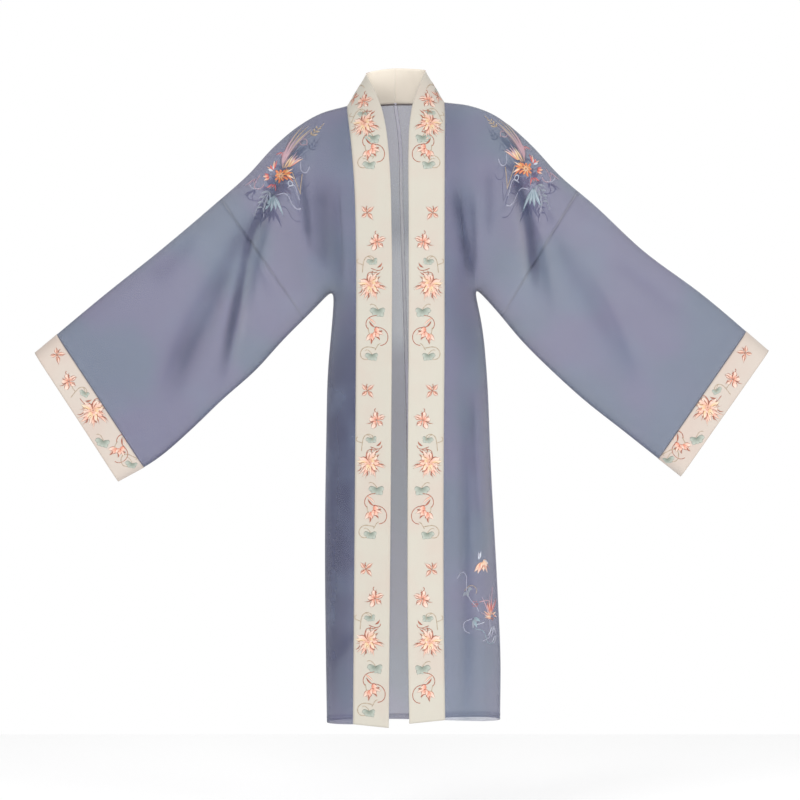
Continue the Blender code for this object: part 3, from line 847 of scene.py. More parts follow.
@dataclass(frozen=True)
class SheerCloth:
    """Chiffon: crisp, matt, half see-through, denser where it bunches, with painted shade in its creases.
    """

    colour: Colour = (107, 119, 143)
    violet: Colour = (117, 116, 147)
    dense_and_shade_colour: Colour = (80, 84, 112)
    opacity: float = 0.41
    weave: float = 0.0009
    roughness: float = 0.75

    def material(self, name: str) -> Material:
        """Plain weave and faint slubs in the bump, cloudy colour, and from the folds how dense the cloth
        is, with painted shade.
        """
        nodes = ShaderNodes(name)
        thread_map, place = nodes.flat_map("weave"), nodes.place()
        gathered_and_shade = nodes.attribute("gathered_and_shade", "Fac")
        cloud = nodes.noise(place, 9.0, 3.0)
        slub_map = nodes.value("ShaderNodeMapping", {}, {"Vector": thread_map,
                                                         "Scale": (900.0, 40.0, 1.0)})
        slub = nodes.noise(slub_map, 1.0)
        scale = WAVE_SCALE / self.weave
        warp, weft = (nodes.threads(thread_map, way, scale) for way in "XY")
        crinkle = nodes.noise(place, 34.0)
        hue = nodes.noise(place, 5.5, 1.5)
        changing = nodes.mixed(hue.above(0.42, 0.60), linear(self.violet), linear(self.colour))
        # Painted shade: the colour darkens towards the dense colour where the cloth bunches and in
        # creases.
        dark = nodes.mixed(gathered_and_shade.above(0.0, 1.0), changing, linear(self.dense_and_shade_colour))
        pale = tuple(min(1.0, 1.18 * c) for c in linear(self.colour))
        clouded = nodes.mixed(cloud.above(0.45, 0.75) * 0.5, dark, pale)
        height = warp * 0.06 + weft * 0.06 + slub * 0.10 + crinkle * 0.30
        alpha = gathered_and_shade * 0.24 + slub * 0.03 + (self.opacity - 0.015)
        nodes.set(Base_Color=clouded, Roughness=self.roughness, Alpha=alpha,
                  Normal=nodes.bump(height, 0.12, 0.0009), Sheen_Weight=0.25, Sheen_Roughness=0.4,
                  Specular_IOR_Level=0.25)
        return nodes.material


@dataclass(frozen=True)
class CreamCloth:
    """Lined cream satin of the bands and cuffs, with a close twill and slight yellowing."""

    colour: Colour = (195, 190, 178)
    worn_colour: Colour = (197, 182, 171)
    neck_lit_colour: Colour = (242, 232, 217)
    weave: float = 0.0011
    roughness: float = 0.6

    def material(self, name: str) -> Material:
        """Twill lines in the bump, soft clouds of the worn colour, none behind the neck, where a brighter
        cream is painted light on the shaded inside of the collar.
        """
        nodes = ShaderNodes(name)
        place = nodes.place()
        cloud = nodes.noise(place, 11.0, 4.0)
        grain, pucker = nodes.noise(place, 420.0), nodes.noise(place, 60.0)
        twill = nodes.threads(nodes.flat_map("weave"), "DIAGONAL", WAVE_SCALE / self.weave)
        worn = nodes.mixed(cloud.above(0.4, 0.7) * 0.6, linear(self.colour),
                           linear(self.worn_colour))
        _, back, up = nodes.parts(place)
        # Painted light: behind the neck the cream turns brighter, standing in for light on the shaded
        # inside of the collar.
        painted_light_behind_neck = back.above(-0.02, 0.03) * up.above(-0.10, -0.04)
        colour = nodes.mixed(painted_light_behind_neck, worn, linear(self.neck_lit_colour))
        height = twill * 0.12 + grain * 0.2 + pucker * 0.4
        nodes.set(Base_Color=colour, Roughness=self.roughness,
                  Normal=nodes.bump(height, 0.3, 0.0008), Sheen_Weight=0.2, Sheen_Roughness=0.45,
                  Specular_IOR_Level=0.3)
        return nodes.material


@dataclass(frozen=True)
class EmbroideryThread:
    """Glossy floss: the colours lie in the mesh, the floss runs along each petal."""

    roughness: float = 0.42
    lines: float = 5.0

    def material(self, name: str) -> Material:
        """Petal's colour from heart to tip, its outline, and the floss as fine ridges."""
        nodes = ShaderNodes(name)
        petal_map = nodes.flat_map("petal")
        along, across, _ = nodes.parts(petal_map)
        heart, tip, line = (nodes.attribute(part, "Color") for part in DYE_PARTS)
        inner = nodes.mixed(along.above(0.1, 0.9), heart, tip)
        from_middle = abs(across - 0.5) * 2.0
        colour = nodes.mixed(from_middle.above(0.66, 0.84), inner, line)
        floss = nodes.threads(petal_map, "Y", WAVE_SCALE * self.lines)
        nodes.set(Base_Color=colour, Roughness=self.roughness,
                  Normal=nodes.bump(floss, 0.35, 0.0004), Specular_IOR_Level=0.4)
        return nodes.material


@dataclass(frozen=True)
class StudioFloor:
    """Plain pale floor."""

    colour: Colour = (246, 246, 246)

    def material(self, name: str) -> Material:
        """Matt and even, with a trace of grain in its roughness."""
        nodes = ShaderNodes(name)
        grain = nodes.noise(nodes.place(), 6.0)
        nodes.set(Base_Color=linear(self.colour), Roughness=grain * 0.1 + 0.85,
                  Emission_Color=(1.0, 1.0, 1.0), Emission_Strength=0.16)
        return nodes.material


@dataclass(frozen=True)
class Finishes:
    """Materials that the pieces share."""

    sheer: Material
    turned: Material
    seam_turned: Material
    felled: Material
    neck_seam: Material
    cream: Material
    cuff: Material
    thread: Material

    @classmethod
    def make(cls) -> "Finishes":
        """Makes each material once."""
        return cls(
            SheerCloth().material("sheer_cloth"),
            SheerCloth(opacity=0.15).material("sheer_turnings"),
            SheerCloth(opacity=0.05).material("sheer_seam_turnings"),
            # Felled seam: near-white, a painted highlight on its raised middle.
            SheerCloth(colour=(246, 246, 250), violet=(240, 238, 250), dense_and_shade_colour=(92, 94, 112),
                       opacity=0.8).material("felled_seam_cloth"),
            SheerCloth(colour=(142, 134, 130), violet=(138, 128, 128), dense_and_shade_colour=(120, 110, 110),
                       opacity=0.5).material("neck_seam_cloth"),
            CreamCloth().material("cream_band_cloth"),
            CreamCloth(colour=(198, 187, 177), worn_colour=(197, 179, 169)).material("cream_cuff_cloth"),
            EmbroideryThread().material("embroidery_thread"),
        )


def dress(piece: Piece, slot: str, node: str | None = None) -> Piece:
    """Lets a piece ride on the robe and, where it stands for a node of the frame, hides that node."""
    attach(piece, "root")
    if node:
        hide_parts(node)
    LOG.info("%s: %d faces", piece.name, len(piece.data.polygons))
    return piece


def cells(grid: Array) -> Array:
    """Four corners of each cell of a grid of numbers."""
    around = (grid[:-1, :-1], grid[:-1, 1:], grid[1:, 1:], grid[1:, :-1])
    return np.stack(around, axis=2).reshape(-1, 4)


def placed(name: str, data: Any) -> Piece:
    """New object of the scene, at the origin."""
    made = bpy.data.objects.new(name, data)
    bpy.context.scene.collection.objects.link(made)
    return made


def shell(name: str, patch: Patch, wall: float, material: Material) -> Piece:
    """Makes a patch a thin wall of cloth, closed on itself where a row is a ring.

    Args:
        name: Piece's name.
        patch: Grid; its cells become the faces.
        wall: Thickness, half to each side.
        material: Finish.

    Returns:
        The new object.
    """
    rows, columns = patch.points.shape[:2]
    numbers = np.arange(rows * columns).reshape(rows, columns)
    numbers[patch.closed, -1] = numbers[patch.closed, 0]
    used, packed = np.unique(numbers, return_inverse=True)
    faces = cells(packed.reshape(rows, columns))
    mesh = bpy.data.meshes.new(name)
    mesh.from_pydata(patch.points.reshape(-1, 3)[used].tolist(), [], faces.tolist())
    own = cells(np.arange(rows * columns).reshape(rows, columns)).reshape(-1)
    weave = patch.weave_map().reshape(-1, 2)[own]
    mesh.uv_layers.new(name="weave").data.foreach_set("uv", weave.ravel().astype(np.float32))
    # How dense the cloth is, which also carries painted shade, for the material to darken and thicken it.
    gathered_and_shade = mesh.attributes.new("gathered_and_shade", "FLOAT", "POINT")
    gathered_and_shade.data.foreach_set("value", patch.gathered_and_shade.reshape(-1)[used].astype(np.float32))
    mesh.validate()
    mesh.shade_smooth()
    mesh.materials.append(material)
    piece = placed(name, mesh)
    solidify = piece.modifiers.new("wall", "SOLIDIFY")
    solidify.thickness = wall
    solidify.offset = 0.0
    return piece


class Outline(Enum):
    """How wide a strand is along its length."""

    PETAL = "widest past the middle, with a blunt tip"
    LEAF = "pointed at both ends"
    STEM = "even, with round ends"
    KNOT = "round"

    def profile(self, t: Array) -> Array:
        """Share of the full width at places t from 0 to 1."""
        if self is Outline.PETAL:
            return np.sin(math.pi * t ** 1.35) ** 0.75
        if self is Outline.LEAF:
            return np.sin(math.pi * t ** 0.85) ** 1.15
        if self is Outline.KNOT:
            return np.sqrt(np.maximum(0, 1 - (2 * t - 1) ** 2))
        return np.sqrt(np.maximum(0, 1 - (2 * t - 1) ** 10))


@dataclass(frozen=True)
class Dye:
    """Floss colours of one kind of stitch, as display colours."""

    heart: Colour
    tip: Colour
    outline: Colour


class Floss(Enum):
    """Threads of the embroidery."""

    CORAL = Dye((216, 134, 110), (226, 196, 178), (178, 92, 76))
    SALMON = Dye((222, 172, 150), (224, 204, 190), (186, 108, 88))
    STRAW = Dye((222, 186, 138), (226, 210, 186), (190, 124, 88))
    RUST = Dye((158, 92, 72), (182, 116, 94), (154, 86, 68))
    ORANGE = Dye((206, 104, 62), (214, 136, 92), (170, 84, 62))
    RED = Dye((192, 82, 84), (206, 124, 122), (164, 66, 76))
    PINK = Dye((186, 150, 158), (178, 156, 168), (156, 120, 132))
    MAUVE = Dye((128, 122, 146), (150, 142, 162), (122, 106, 132))
    SAGE = Dye((136, 146, 134), (174, 180, 170), (150, 156, 146))
    MINT = Dye((118, 138, 148), (150, 168, 178), (160, 176, 184))
    VINE = Dye((166, 146, 120), (190, 172, 150), (156, 136, 112))
    BARK = Dye((106, 98, 112), (132, 122, 134), (92, 84, 100))
    PALE = Dye((162, 163, 180), (176, 177, 191), (156, 155, 174))
    FADED = Dye((130, 136, 148), (142, 148, 158), (150, 154, 168))
    CREAM = Dye((230, 190, 158), (230, 208, 192), (206, 146, 118))
    GOLD = Dye((212, 152, 86), (220, 174, 118), (188, 120, 74))
    WHITE = Dye((190, 196, 208), (206, 210, 218), (172, 178, 194))
    STITCH = Dye((96, 98, 122), (96, 98, 122), (88, 90, 114))
    CREAM_STITCH = Dye((206, 194, 180), (206, 194, 180), (198, 186, 172))


@dataclass(frozen=True)
class Strand:
    """One stitched shape: a flat bead along a bent path, in its motif's right and up."""

    base: tuple[float, float]
    bend: tuple[float, float]
    tip: tuple[float, float]
    half_width: float
    outline: Outline
    floss: Floss
    level: int = 0


Motif = list[Strand]


def polar(angle: float, radius: float) -> tuple[float, float]:
    """Point at an angle in degrees, anticlockwise from the right, and a radius."""
    return radius * math.cos(math.radians(angle)), radius * math.sin(math.radians(angle))


def moved(motif: Motif, x: float = 0.0, y: float = 0.0, turn: float = 0.0,
          size: float = 1.0) -> Motif:
    """Copy of a motif, sized, turned by degrees and moved."""
    cos, sin = math.cos(math.radians(turn)) * size, math.sin(math.radians(turn)) * size

    def place(point: tuple[float, float]) -> tuple[float, float]:
        """Turned and moved point."""
        return point[0] * cos - point[1] * sin + x, point[0] * sin + point[1] * cos + y

    return [Strand(place(s.base), place(s.bend), place(s.tip), s.half_width * size, s.outline,
                   s.floss, s.level) for s in motif]


def spray_of(*rows: tuple[Any, ...]) -> Motif:
    """Strands of motifs in order, each row a motif and where it goes, as `moved` takes them."""
    return [strand for row in rows for strand in moved(*row)]


def rosette(count: int, inner: float, outer: float, half_width: float, floss: Floss,
            swirl: float = 0.0, start: float = 0.0, outline: Outline = Outline.PETAL,
            level: int = 0, spread: float = 360.0, jitter: float = 0.0) -> Motif:
    """Petals round a heart, each bent to one side by `swirl` degrees at its middle.

    Args:
        count: Petals.
        inner: Radius where they start.
        outer: Radius of their tips.
        half_width: Half width of a petal.
        floss: Thread.
        swirl: Bend in degrees.
        start: Angle of the first petal.
        outline: Shape of a petal.
        level: Layer above the cloth.
        spread: Arc that the petals fill, in degrees.
        jitter: Share by which lengths differ, by a fixed pattern.

    Returns:
        The petals.
    """
    petals = []
    for k in range(count):
        angle = start + spread * k / (count if spread == 360.0 else max(1, count - 1))
        uneven = 1 + jitter * math.sin(2.4 * k + 0.7)
        petals.append(Strand(polar(angle, inner), polar(angle + swirl, (inner + outer) * 0.55),
                             polar(angle + swirl * 0.3, outer * uneven), half_width, outline,
                             floss, level))
    return petals


def knots(count: int, radius: float, size: float, floss: Floss, level: int = 2) -> Motif:
    """French knots on a ring, with one in the middle."""
    made = []
    for k in range(count + 1):
        x, y = polar(360 * k / max(1, count), radius if k < count else 0.0)
        made.append(Strand((x - size, y), (x, y), (x + size, y), size, Outline.KNOT, floss, level))
    return made


def tendril(start: tuple[float, float], turns: list[tuple[float, float]], floss: Floss,
            half_width: float = 0.0006) -> Motif:
    """Thin curling line from a start through pairs of length and turn in degrees.

    The first pair's turn is the way in which the line sets out. Each stroke bends by its turn at
    its middle, and runs on a little into its neighbours.
    """
    strands = []
    x, y = start
    heading = turns[0][1]
    for number, (length, turn) in enumerate(turns):
        next_heading = heading + turn if number else heading
        first = polar(heading, length * 0.5)
        second = polar(next_heading, length * 0.5)
        middle = (x + first[0], y + first[1])
        end = (middle[0] + second[0], middle[1] + second[1])
        before = (x - first[0] * TENDRIL_OVERLAP, y - first[1] * TENDRIL_OVERLAP)
        after = (end[0] + second[0] * TENDRIL_OVERLAP, end[1] + second[1] * TENDRIL_OVERLAP)
        strands.append(Strand(before, middle, after, half_width, Outline.STEM, floss))
        x, y = end
        heading = next_heading
    return strands


def plume(count: int, way: float, spread: float, length: float, half_width: float,
          colours: tuple[Floss, ...]) -> Motif:
    """Loose bundle of long strokes that fan out about one way, in degrees.

    Lengths and widths differ along the fan by a sine of the stroke's number.
    """
    made = []
    for k in range(count):
        angle = way + spread * (k / (count - 1) - 0.5)
        reach = length * (0.78 + 0.22 * math.sin(1.9 * k + 0.6))
        made.append(Strand(polar(angle + 25, 0.004), polar(angle + 9, reach * 0.55),
                           polar(angle, reach), half_width * (1 + 0.3 * math.sin(2.7 * k)),
                           Outline.LEAF, colours[k % len(colours)], k % 3))
    return made


def star_blossom() -> Motif:
    """Small star of four crossed petals with loose strokes between them."""
    return (rosette(4, 0.001, 0.0165, 0.0040, Floss.SALMON, 8, 38, Outline.LEAF, jitter=0.14)
            + rosette(4, 0.000, 0.0175, 0.0009, Floss.RUST, -12, 44, Outline.LEAF, 1, jitter=0.2)
            + rosette(3, 0.005, 0.0120, 0.0008, Floss.RUST, 30, 80, Outline.STEM, 2, jitter=0.2)
            + knots(3, 0.0020, 0.0009, Floss.RUST))


def small_flower() -> Motif:
    """Small open flower of broad pale petals, outlined with loose curled strokes."""
    return (rosette(5, 0.001, 0.0170, 0.0052, Floss.SALMON, 14, 20, jitter=0.16)
            + rosette(4, 0.001, 0.0110, 0.0032, Floss.CORAL, -18, 60, level=1)
            + rosette(6, 0.006, 0.0180, 0.0009, Floss.RUST, 30, 8, Outline.LEAF, 2, jitter=0.24)
            + tendril((0.004, 0.012), [(0.006, 150), (0.006, -60), (0.005, -80)], Floss.RUST, 0.0008)
            + knots(2, 0.0014, 0.0008, Floss.RUST, 3))


def chrysanthemum() -> Motif:
    """Large flower from its side: curled petals fan out from a calyx, with loose dark strokes."""
    made = rosette(7, 0.000, 0.0195, 0.0080, Floss.SALMON, 10, -200, spread=280, jitter=0.14)
    made += plume(17, -55, 300, 0.029, 0.0036, (Floss.SALMON, Floss.STRAW, Floss.SALMON, Floss.CORAL))
    made += plume(12, -50, 240, 0.022, 0.0032, (Floss.STRAW, Floss.SALMON))
    made += plume(8, -60, 170, 0.015, 0.0028, (Floss.CORAL, Floss.SALMON))
    made += plume(8, -76, 110, 0.036, 0.0032, (Floss.SALMON, Floss.CORAL, Floss.STRAW))
    made += plume(6, -40, 250, 0.030, 0.0007, (Floss.RUST,))
    made += plume(5, -74, 120, 0.038, 0.0008, (Floss.RUST,))
    made += rosette(6, 0.018, 0.028, 0.0009, Floss.RUST, 16, -150, Outline.LEAF, 3, 220, 0.20)
    made += rosette(7, 0.009, 0.019, 0.0006, Floss.RUST, -26, -160, Outline.STEM, 3, 220, 0.20)
    made = moved(made, -0.003, 0.007)
    made += tendril((-0.010, 0.016), [(0.009, 80), (0.009, -60), (0.009, -40), (0.008, 60)],
                    Floss.RUST, 0.0008)
    made += [Strand((0.006, 0.024), (0.012, 0.026), (0.019, 0.032), 0.0013, Outline.LEAF,
                    Floss.RUST, 1)]
    return made


def round_leaf() -> Motif:
    """Broad leaf of five lobes with a vein in each and a curled stalk."""
    return (rosette(5, 0.001, 0.0165, 0.0056, Floss.SAGE, 6, 190, spread=150, jitter=0.12)
            + rosette(5, 0.001, 0.0140, 0.0005, Floss.SAGE, 6, 190, Outline.STEM, 1, 150)
            + tendril((0.0, 0.0), [(0.008, 130), (0.008, 40), (0.006, 60)], Floss.VINE, 0.0007))


def leaf_scroll() -> Motif:
    """Stem that curls over a pale leaf, with loose tendrils to both sides."""
    made = tendril((-0.018, -0.022), [(0.012, 85), (0.012, -10), (0.012, -50), (0.012, -60),
                                      (0.010, -70), (0.007, -70)], Floss.VINE, 0.0008)
    made += moved(round_leaf(), 0.002, 0.004, 10, 0.72)
    made += tendril((0.000, -0.014), [(0.011, -20), (0.011, 50), (0.008, 60)], Floss.RUST, 0.0008)
    made += tendril((-0.018, -0.006), [(0.008, 160), (0.008, -80), (0.006, -70)], Floss.VINE, 0.0007)
    made += [Strand((0.012, -0.012), (0.020, -0.010), (0.022, -0.002), 0.0018, Outline.LEAF,
                    Floss.RUST, 1)]
    return made


def bud_scroll() -> Motif:
    """Half-open bud in the bend of a long double-curved stem, with a dark leaf above."""
    made = tendril((0.008, 0.040), [(0.012, 192), (0.012, 40), (0.012, 42), (0.010, 40)],
                   Floss.RUST, 0.0008)
    made += tendril((0.002, 0.016), [(0.010, 350), (0.011, -30), (0.012, -34), (0.012, -36),
                                     (0.010, -40), (0.009, -30)], Floss.RUST, 0.0008)
    made += tendril((-0.012, 0.014), [(0.009, 280), (0.009, 60), (0.008, 90)], Floss.VINE, 0.0008)
    made += [Strand((-0.010, 0.028), (-0.006, 0.018), (0.004, 0.014), 0.0017, Outline.LEAF,
                    Floss.RUST, 1),
             Strand((-0.012, 0.034), (-0.002, 0.028), (0.006, 0.018), 0.0020, Outline.LEAF,
                    Floss.SALMON, 0)]
    bud = plume(6, -58, 130, 0.022, 0.0040, (Floss.SALMON, Floss.CORAL))
    bud += plume(4, -58, 80, 0.014, 0.0030, (Floss.CORAL, Floss.SALMON))
    bud += plume(6, -58, 126, 0.021, 0.0008, (Floss.RUST,))
    bud += rosette(3, 0.012, 0.020, 0.0012, Floss.RUST, 14, -100, Outline.LEAF, 3, 90, 0.2)
    return made + moved(bud, -0.004, 0.008, 0, 1.2)


def leaf_tendril() -> Motif:
    """Pale round leaf beside a wide ring of tendril."""
    return (moved(round_leaf(), 0.004, 0.004, 0, 0.85)
            + tendril((0.010, 0.016), [(0.012, 170), (0.012, 40), (0.013, 50), (0.013, 60),
                                       (0.012, 60), (0.010, 60)], Floss.VINE, 0.0008)
            + tendril((0.010, 0.012), [(0.010, 60), (0.008, -50)], Floss.VINE, 0.0008))


def open_blossom() -> Motif:
    """Showy flower with a full heart, for the shoulder sprays."""
    return (rosette(9, 0.006, 0.0270, 0.0054, Floss.ORANGE, 16, 8, jitter=0.22)
            + rosette(8, 0.004, 0.0190, 0.0036, Floss.GOLD, -14, 28, Outline.LEAF, 1, jitter=0.18)
            + rosette(9, 0.002, 0.0115, 0.0018, Floss.CREAM, 8, 0, Outline.LEAF, 2)
            + rosette(9, 0.008, 0.0230, 0.0007, Floss.RED, 24, 12, Outline.STEM, 2, jitter=0.2)
            + knots(6, 0.0036, 0.0011, Floss.GOLD, 3))


def pointed_leaves(count: int, spread: float) -> Motif:
    """Fan of long pointed leaves that hang down, with a vein each."""
    start = -90.0 - spread / 2
    return (rosette(count, 0.002, 0.043, 0.0037, Floss.MINT, 10, start, Outline.LEAF, 0, spread, 0.2)
            + rosette(count, 0.004, 0.033, 0.0006, Floss.WHITE, 10, start, Outline.STEM, 1, spread,
                      0.2))


def curled_ring(radius: float, floss: Floss) -> Motif:
    """Small open ring of thread with a loose end."""
    step = radius * 0.9
    return tendril((radius, 0.0), [(step, 100)] + [(step, 52)] * 6, floss, 0.0008)


def leaf_chain(count: int, way: float, step: float, floss: Floss) -> Motif:
    """Small pointed leaves set in pairs along a thin stalk that runs one way, in degrees."""
    made = []
    for k in range(count):
        x, y = polar(way + 5 * k, step * k)
        size = 1.0 - 0.4 * k / count
        for turn in (42, -38):
            tip = polar(way + turn, step * 1.3 * size)
            bend = polar(way + turn * 1.6, step * 0.7 * size)
            made.append(Strand((x, y), (x + bend[0], y + bend[1]), (x + tip[0], y + tip[1]),
                               step * 0.22 * size, Outline.LEAF, floss, k % 2))
    made += tendril((0.0, 0.0), [(step * 1.1, way)] + [(step, 5)] * count, floss, 0.0007)
    return made


def shoulder_spray() -> Motif:
    """Spray of the shoulders: stalks up to the ridge, small blossoms, curls, and leaves below.

    Made for the wearer's right shoulder, with the sleeve to the left.
    """
    return spray_of(
        (plume(10, 73, 20, 0.118, 0.0026, (Floss.MAUVE, Floss.VINE, Floss.PINK)), 0.002, 0.012),
        (plume(8, 72, 28, 0.120, 0.0009, (Floss.BARK,)), 0.004, 0.012),
        (plume(6, 240, 90, 0.018, 0.0013, (Floss.RED, Floss.PINK)), -0.002, 0.054),
        (plume(9, 74, 60, 0.050, 0.0016, (Floss.STRAW, Floss.PINK, Floss.BARK)), 0.006, 0.006),
        (plume(6, 60, 34, 0.044, 0.0022, (Floss.CORAL, Floss.PINK, Floss.STRAW)), 0.016, 0.010),
        (open_blossom(), 0.001, -0.003, 0, 0.54),
        (plume(7, 24, 96, 0.025, 0.0019, (Floss.ORANGE, Floss.CREAM, Floss.GOLD)), 0.008, -0.003),
        (plume(6, 118, 64, 0.028, 0.0020, (Floss.RED, Floss.CORAL, Floss.WHITE)), -0.012, 0.008),
        (plume(4, 172, 60, 0.020, 0.0028, (Floss.RED, Floss.CORAL)), -0.020, -0.002),
        (plume(5, 250, 70, 0.020, 0.0022, (Floss.RED, Floss.BARK)), -0.014, -0.016),
        (tendril((-0.012, -0.006), [(0.010, 150), (0.010, 20)], Floss.BARK, 0.0009),),
        (tendril((-0.010, -0.016), [(0.010, 70), (0.012, 20)], Floss.VINE, 0.0009),),
        (curled_ring(0.008, Floss.PINK), 0.038, 0.066),
        (curled_ring(0.006, Floss.MAUVE), 0.020, 0.058),
        (leaf_chain(3, 66, 0.010, Floss.VINE), 0.050, 0.090, 0, 0.9),
        (plume(4, 250, 70, 0.026, 0.0018, (Floss.PINK, Floss.MAUVE)), -0.054, 0.010),
        (tendril((-0.044, 0.010), [(0.014, 244), (0.014, 30), (0.012, 60), (0.010, 60),
         (0.010, 50)], Floss.PINK, 0.0009),),
        (tendril((-0.064, -0.002), [(0.012, 290), (0.012, 40), (0.010, 40)], Floss.PALE, 0.0009),),
        (pointed_leaves(4, 52), -0.016, -0.038, -4, 0.92),
        (leaf_chain(4, 232, 0.012, Floss.FADED), -0.024, -0.034),
        (tendril((-0.026, -0.040), [(0.018, 250), (0.018, 14), (0.014, 4)], Floss.PALE, 0.0007),),
        (tendril((-0.006, -0.042), [(0.013, 20), (0.013, -70), (0.014, -10), (0.014, 60),
         (0.012, 50)], Floss.PALE, 0.0009),),
        (tendril((0.016, -0.026), [(0.011, 40), (0.011, -90), (0.012, -30),
         (0.012, 40)], Floss.PALE, 0.0009),),
        (curled_ring(0.005, Floss.WHITE), 0.022, -0.020),
        (tendril((0.024, 0.006), [(0.014, 300), (0.014, 0), (0.012, 4)], Floss.VINE, 0.0008),),
        (tendril((0.046, 0.008), [(0.014, 266), (0.014, 0), (0.006, 0)], Floss.VINE, 0.0008),),
        (tendril((0.040, 0.030), [(0.012, 276), (0.010, 70), (0.012, 70),
         (0.012, 30)], Floss.PALE, 0.0008),),
    )


def hem_spray() -> Motif:
    """Spray of the left front above the hem: bell, long thin tendril, red flower, pale leaf."""
    bell = plume(7, 282, 96, 0.026, 0.0036, (Floss.CREAM, Floss.CORAL, Floss.CREAM))
    bell += moved(plume(5, 278, 70, 0.017, 0.0026, (Floss.ORANGE, Floss.RUST, Floss.CREAM)), 0.002, -0.001)
    bell += plume(6, 284, 104, 0.027, 0.0007, (Floss.RUST, Floss.WHITE))
    bell += moved(plume(3, 100, 34, 0.018, 0.0020, (Floss.WHITE, Floss.PALE)), -0.001, -0.002)
    return spray_of(
        (bell, 0.000, 0.080, 0, 1.22),
        (tendril((-0.056, 0.046), [(0.012, 52), (0.012, -84), (0.014, -60), (0.016, -4), (0.016, 22),
         (0.016, 20), (0.016, 6), (0.013, -26)], Floss.PALE, 0.0008),),
        (tendril((-0.040, 0.020), [(0.012, 40), (0.011, -60), (0.012, -50),
         (0.010, -60)], Floss.VINE, 0.0006),),
        (plume(4, 300, 120, 0.018, 0.0030, (Floss.FADED,)), -0.036, 0.022),
        (knots(6, 0.0056, 0.0011, Floss.RED, 1), -0.018, -0.008),
        (knots(5, 0.0030, 0.0009, Floss.RUST, 1), -0.016, -0.010),
        (tendril((-0.008, -0.004), [(0.014, 10), (0.014, -50)], Floss.PINK, 0.0012),),
        (plume(8, 86, 70, 0.044, 0.0016, (Floss.RED, Floss.PINK, Floss.CORAL)), 0.020, -0.030),
        (plume(7, 150, 66, 0.032, 0.0017, (Floss.CORAL, Floss.PINK, Floss.CREAM)), 0.022, -0.034),
        (plume(7, 100, 200, 0.020, 0.0016, (Floss.CORAL, Floss.CREAM)), 0.022, -0.034),
        (knots(4, 0.0026, 0.0010, Floss.RUST, 3), 0.022, -0.038),
        (tendril((0.028, 0.024), [(0.014, 260), (0.014, -10), (0.014, 30)], Floss.PINK, 0.0009),),
        (plume(4, 306, 66, 0.025, 0.0030, (Floss.FADED, Floss.MINT)), -0.026, -0.036),
        (tendril((-0.026, -0.038), [(0.012, 200), (0.013, 60), (0.013, 50),
         (0.012, 46)], Floss.PALE, 0.0008),),
        (tendril((-0.022, -0.058), [(0.014, 352), (0.012, -60), (0.014, -10), (0.014, 70),
         (0.014, 60)], Floss.MINT, 0.0007),),
        (tendril((-0.022, -0.050), [(0.012, 10), (0.012, 20)], Floss.WHITE, 0.0007),),
        (tendril((0.014, -0.040), [(0.016, 272), (0.014, -14), (0.012, -60),
         (0.012, 10)], Floss.PALE, 0.0008),),
        (plume(4, 268, 60, 0.032, 0.0012, (Floss.WHITE, Floss.PALE)), 0.022, -0.048),
        (plume(3, 262, 40, 0.024, 0.0010, (Floss.WHITE, Floss.PALE)), 0.028, -0.066),
    )


# Columns: motif, way along the repeat in metres, offset towards the band's free edge.
BAND_REPEAT = (
    (star_blossom, 0.000, -0.013),
    (small_flower, 0.058, 0.006),
    (leaf_scroll, 0.097, -0.006),
    (chrysanthemum, 0.148, -0.005),
    (round_leaf, 0.191, 0.008),
    (bud_scroll, 0.242, 0.000),
    (leaf_tendril, 0.284, -0.008),
)

# Columns: motif, way down the cuff from the ridge in metres, offset towards the sleeve, turn, size.
CUFF_ROW = (
    (star_blossom, 0.046, 0.008, 0, 0.95),
    (small_flower, 0.102, -0.002, 40, 0.95),
    (leaf_scroll, 0.138, 0.010, 0, 0.92),
    (chrysanthemum, 0.184, 0.003, 10, 1.05),
    (round_leaf, 0.238, -0.008, 20, 0.95),
    (bud_scroll, 0.270, 0.004, -10, 0.95),
    (leaf_tendril, 0.306, 0.010, 20, 0.92),
)

# Where the middles of the sprays show on the plane y = 0, as out and up, and how much lower the
# spray on the back of a shoulder lies.
SPRAY_PLACES = {Side.RIGHT: (0.238, -0.131), Side.LEFT: (0.254, -0.118)}
HEM_SPRAY_PLACE = (0.168, -0.985)
SPRAY_DROP = 0.030


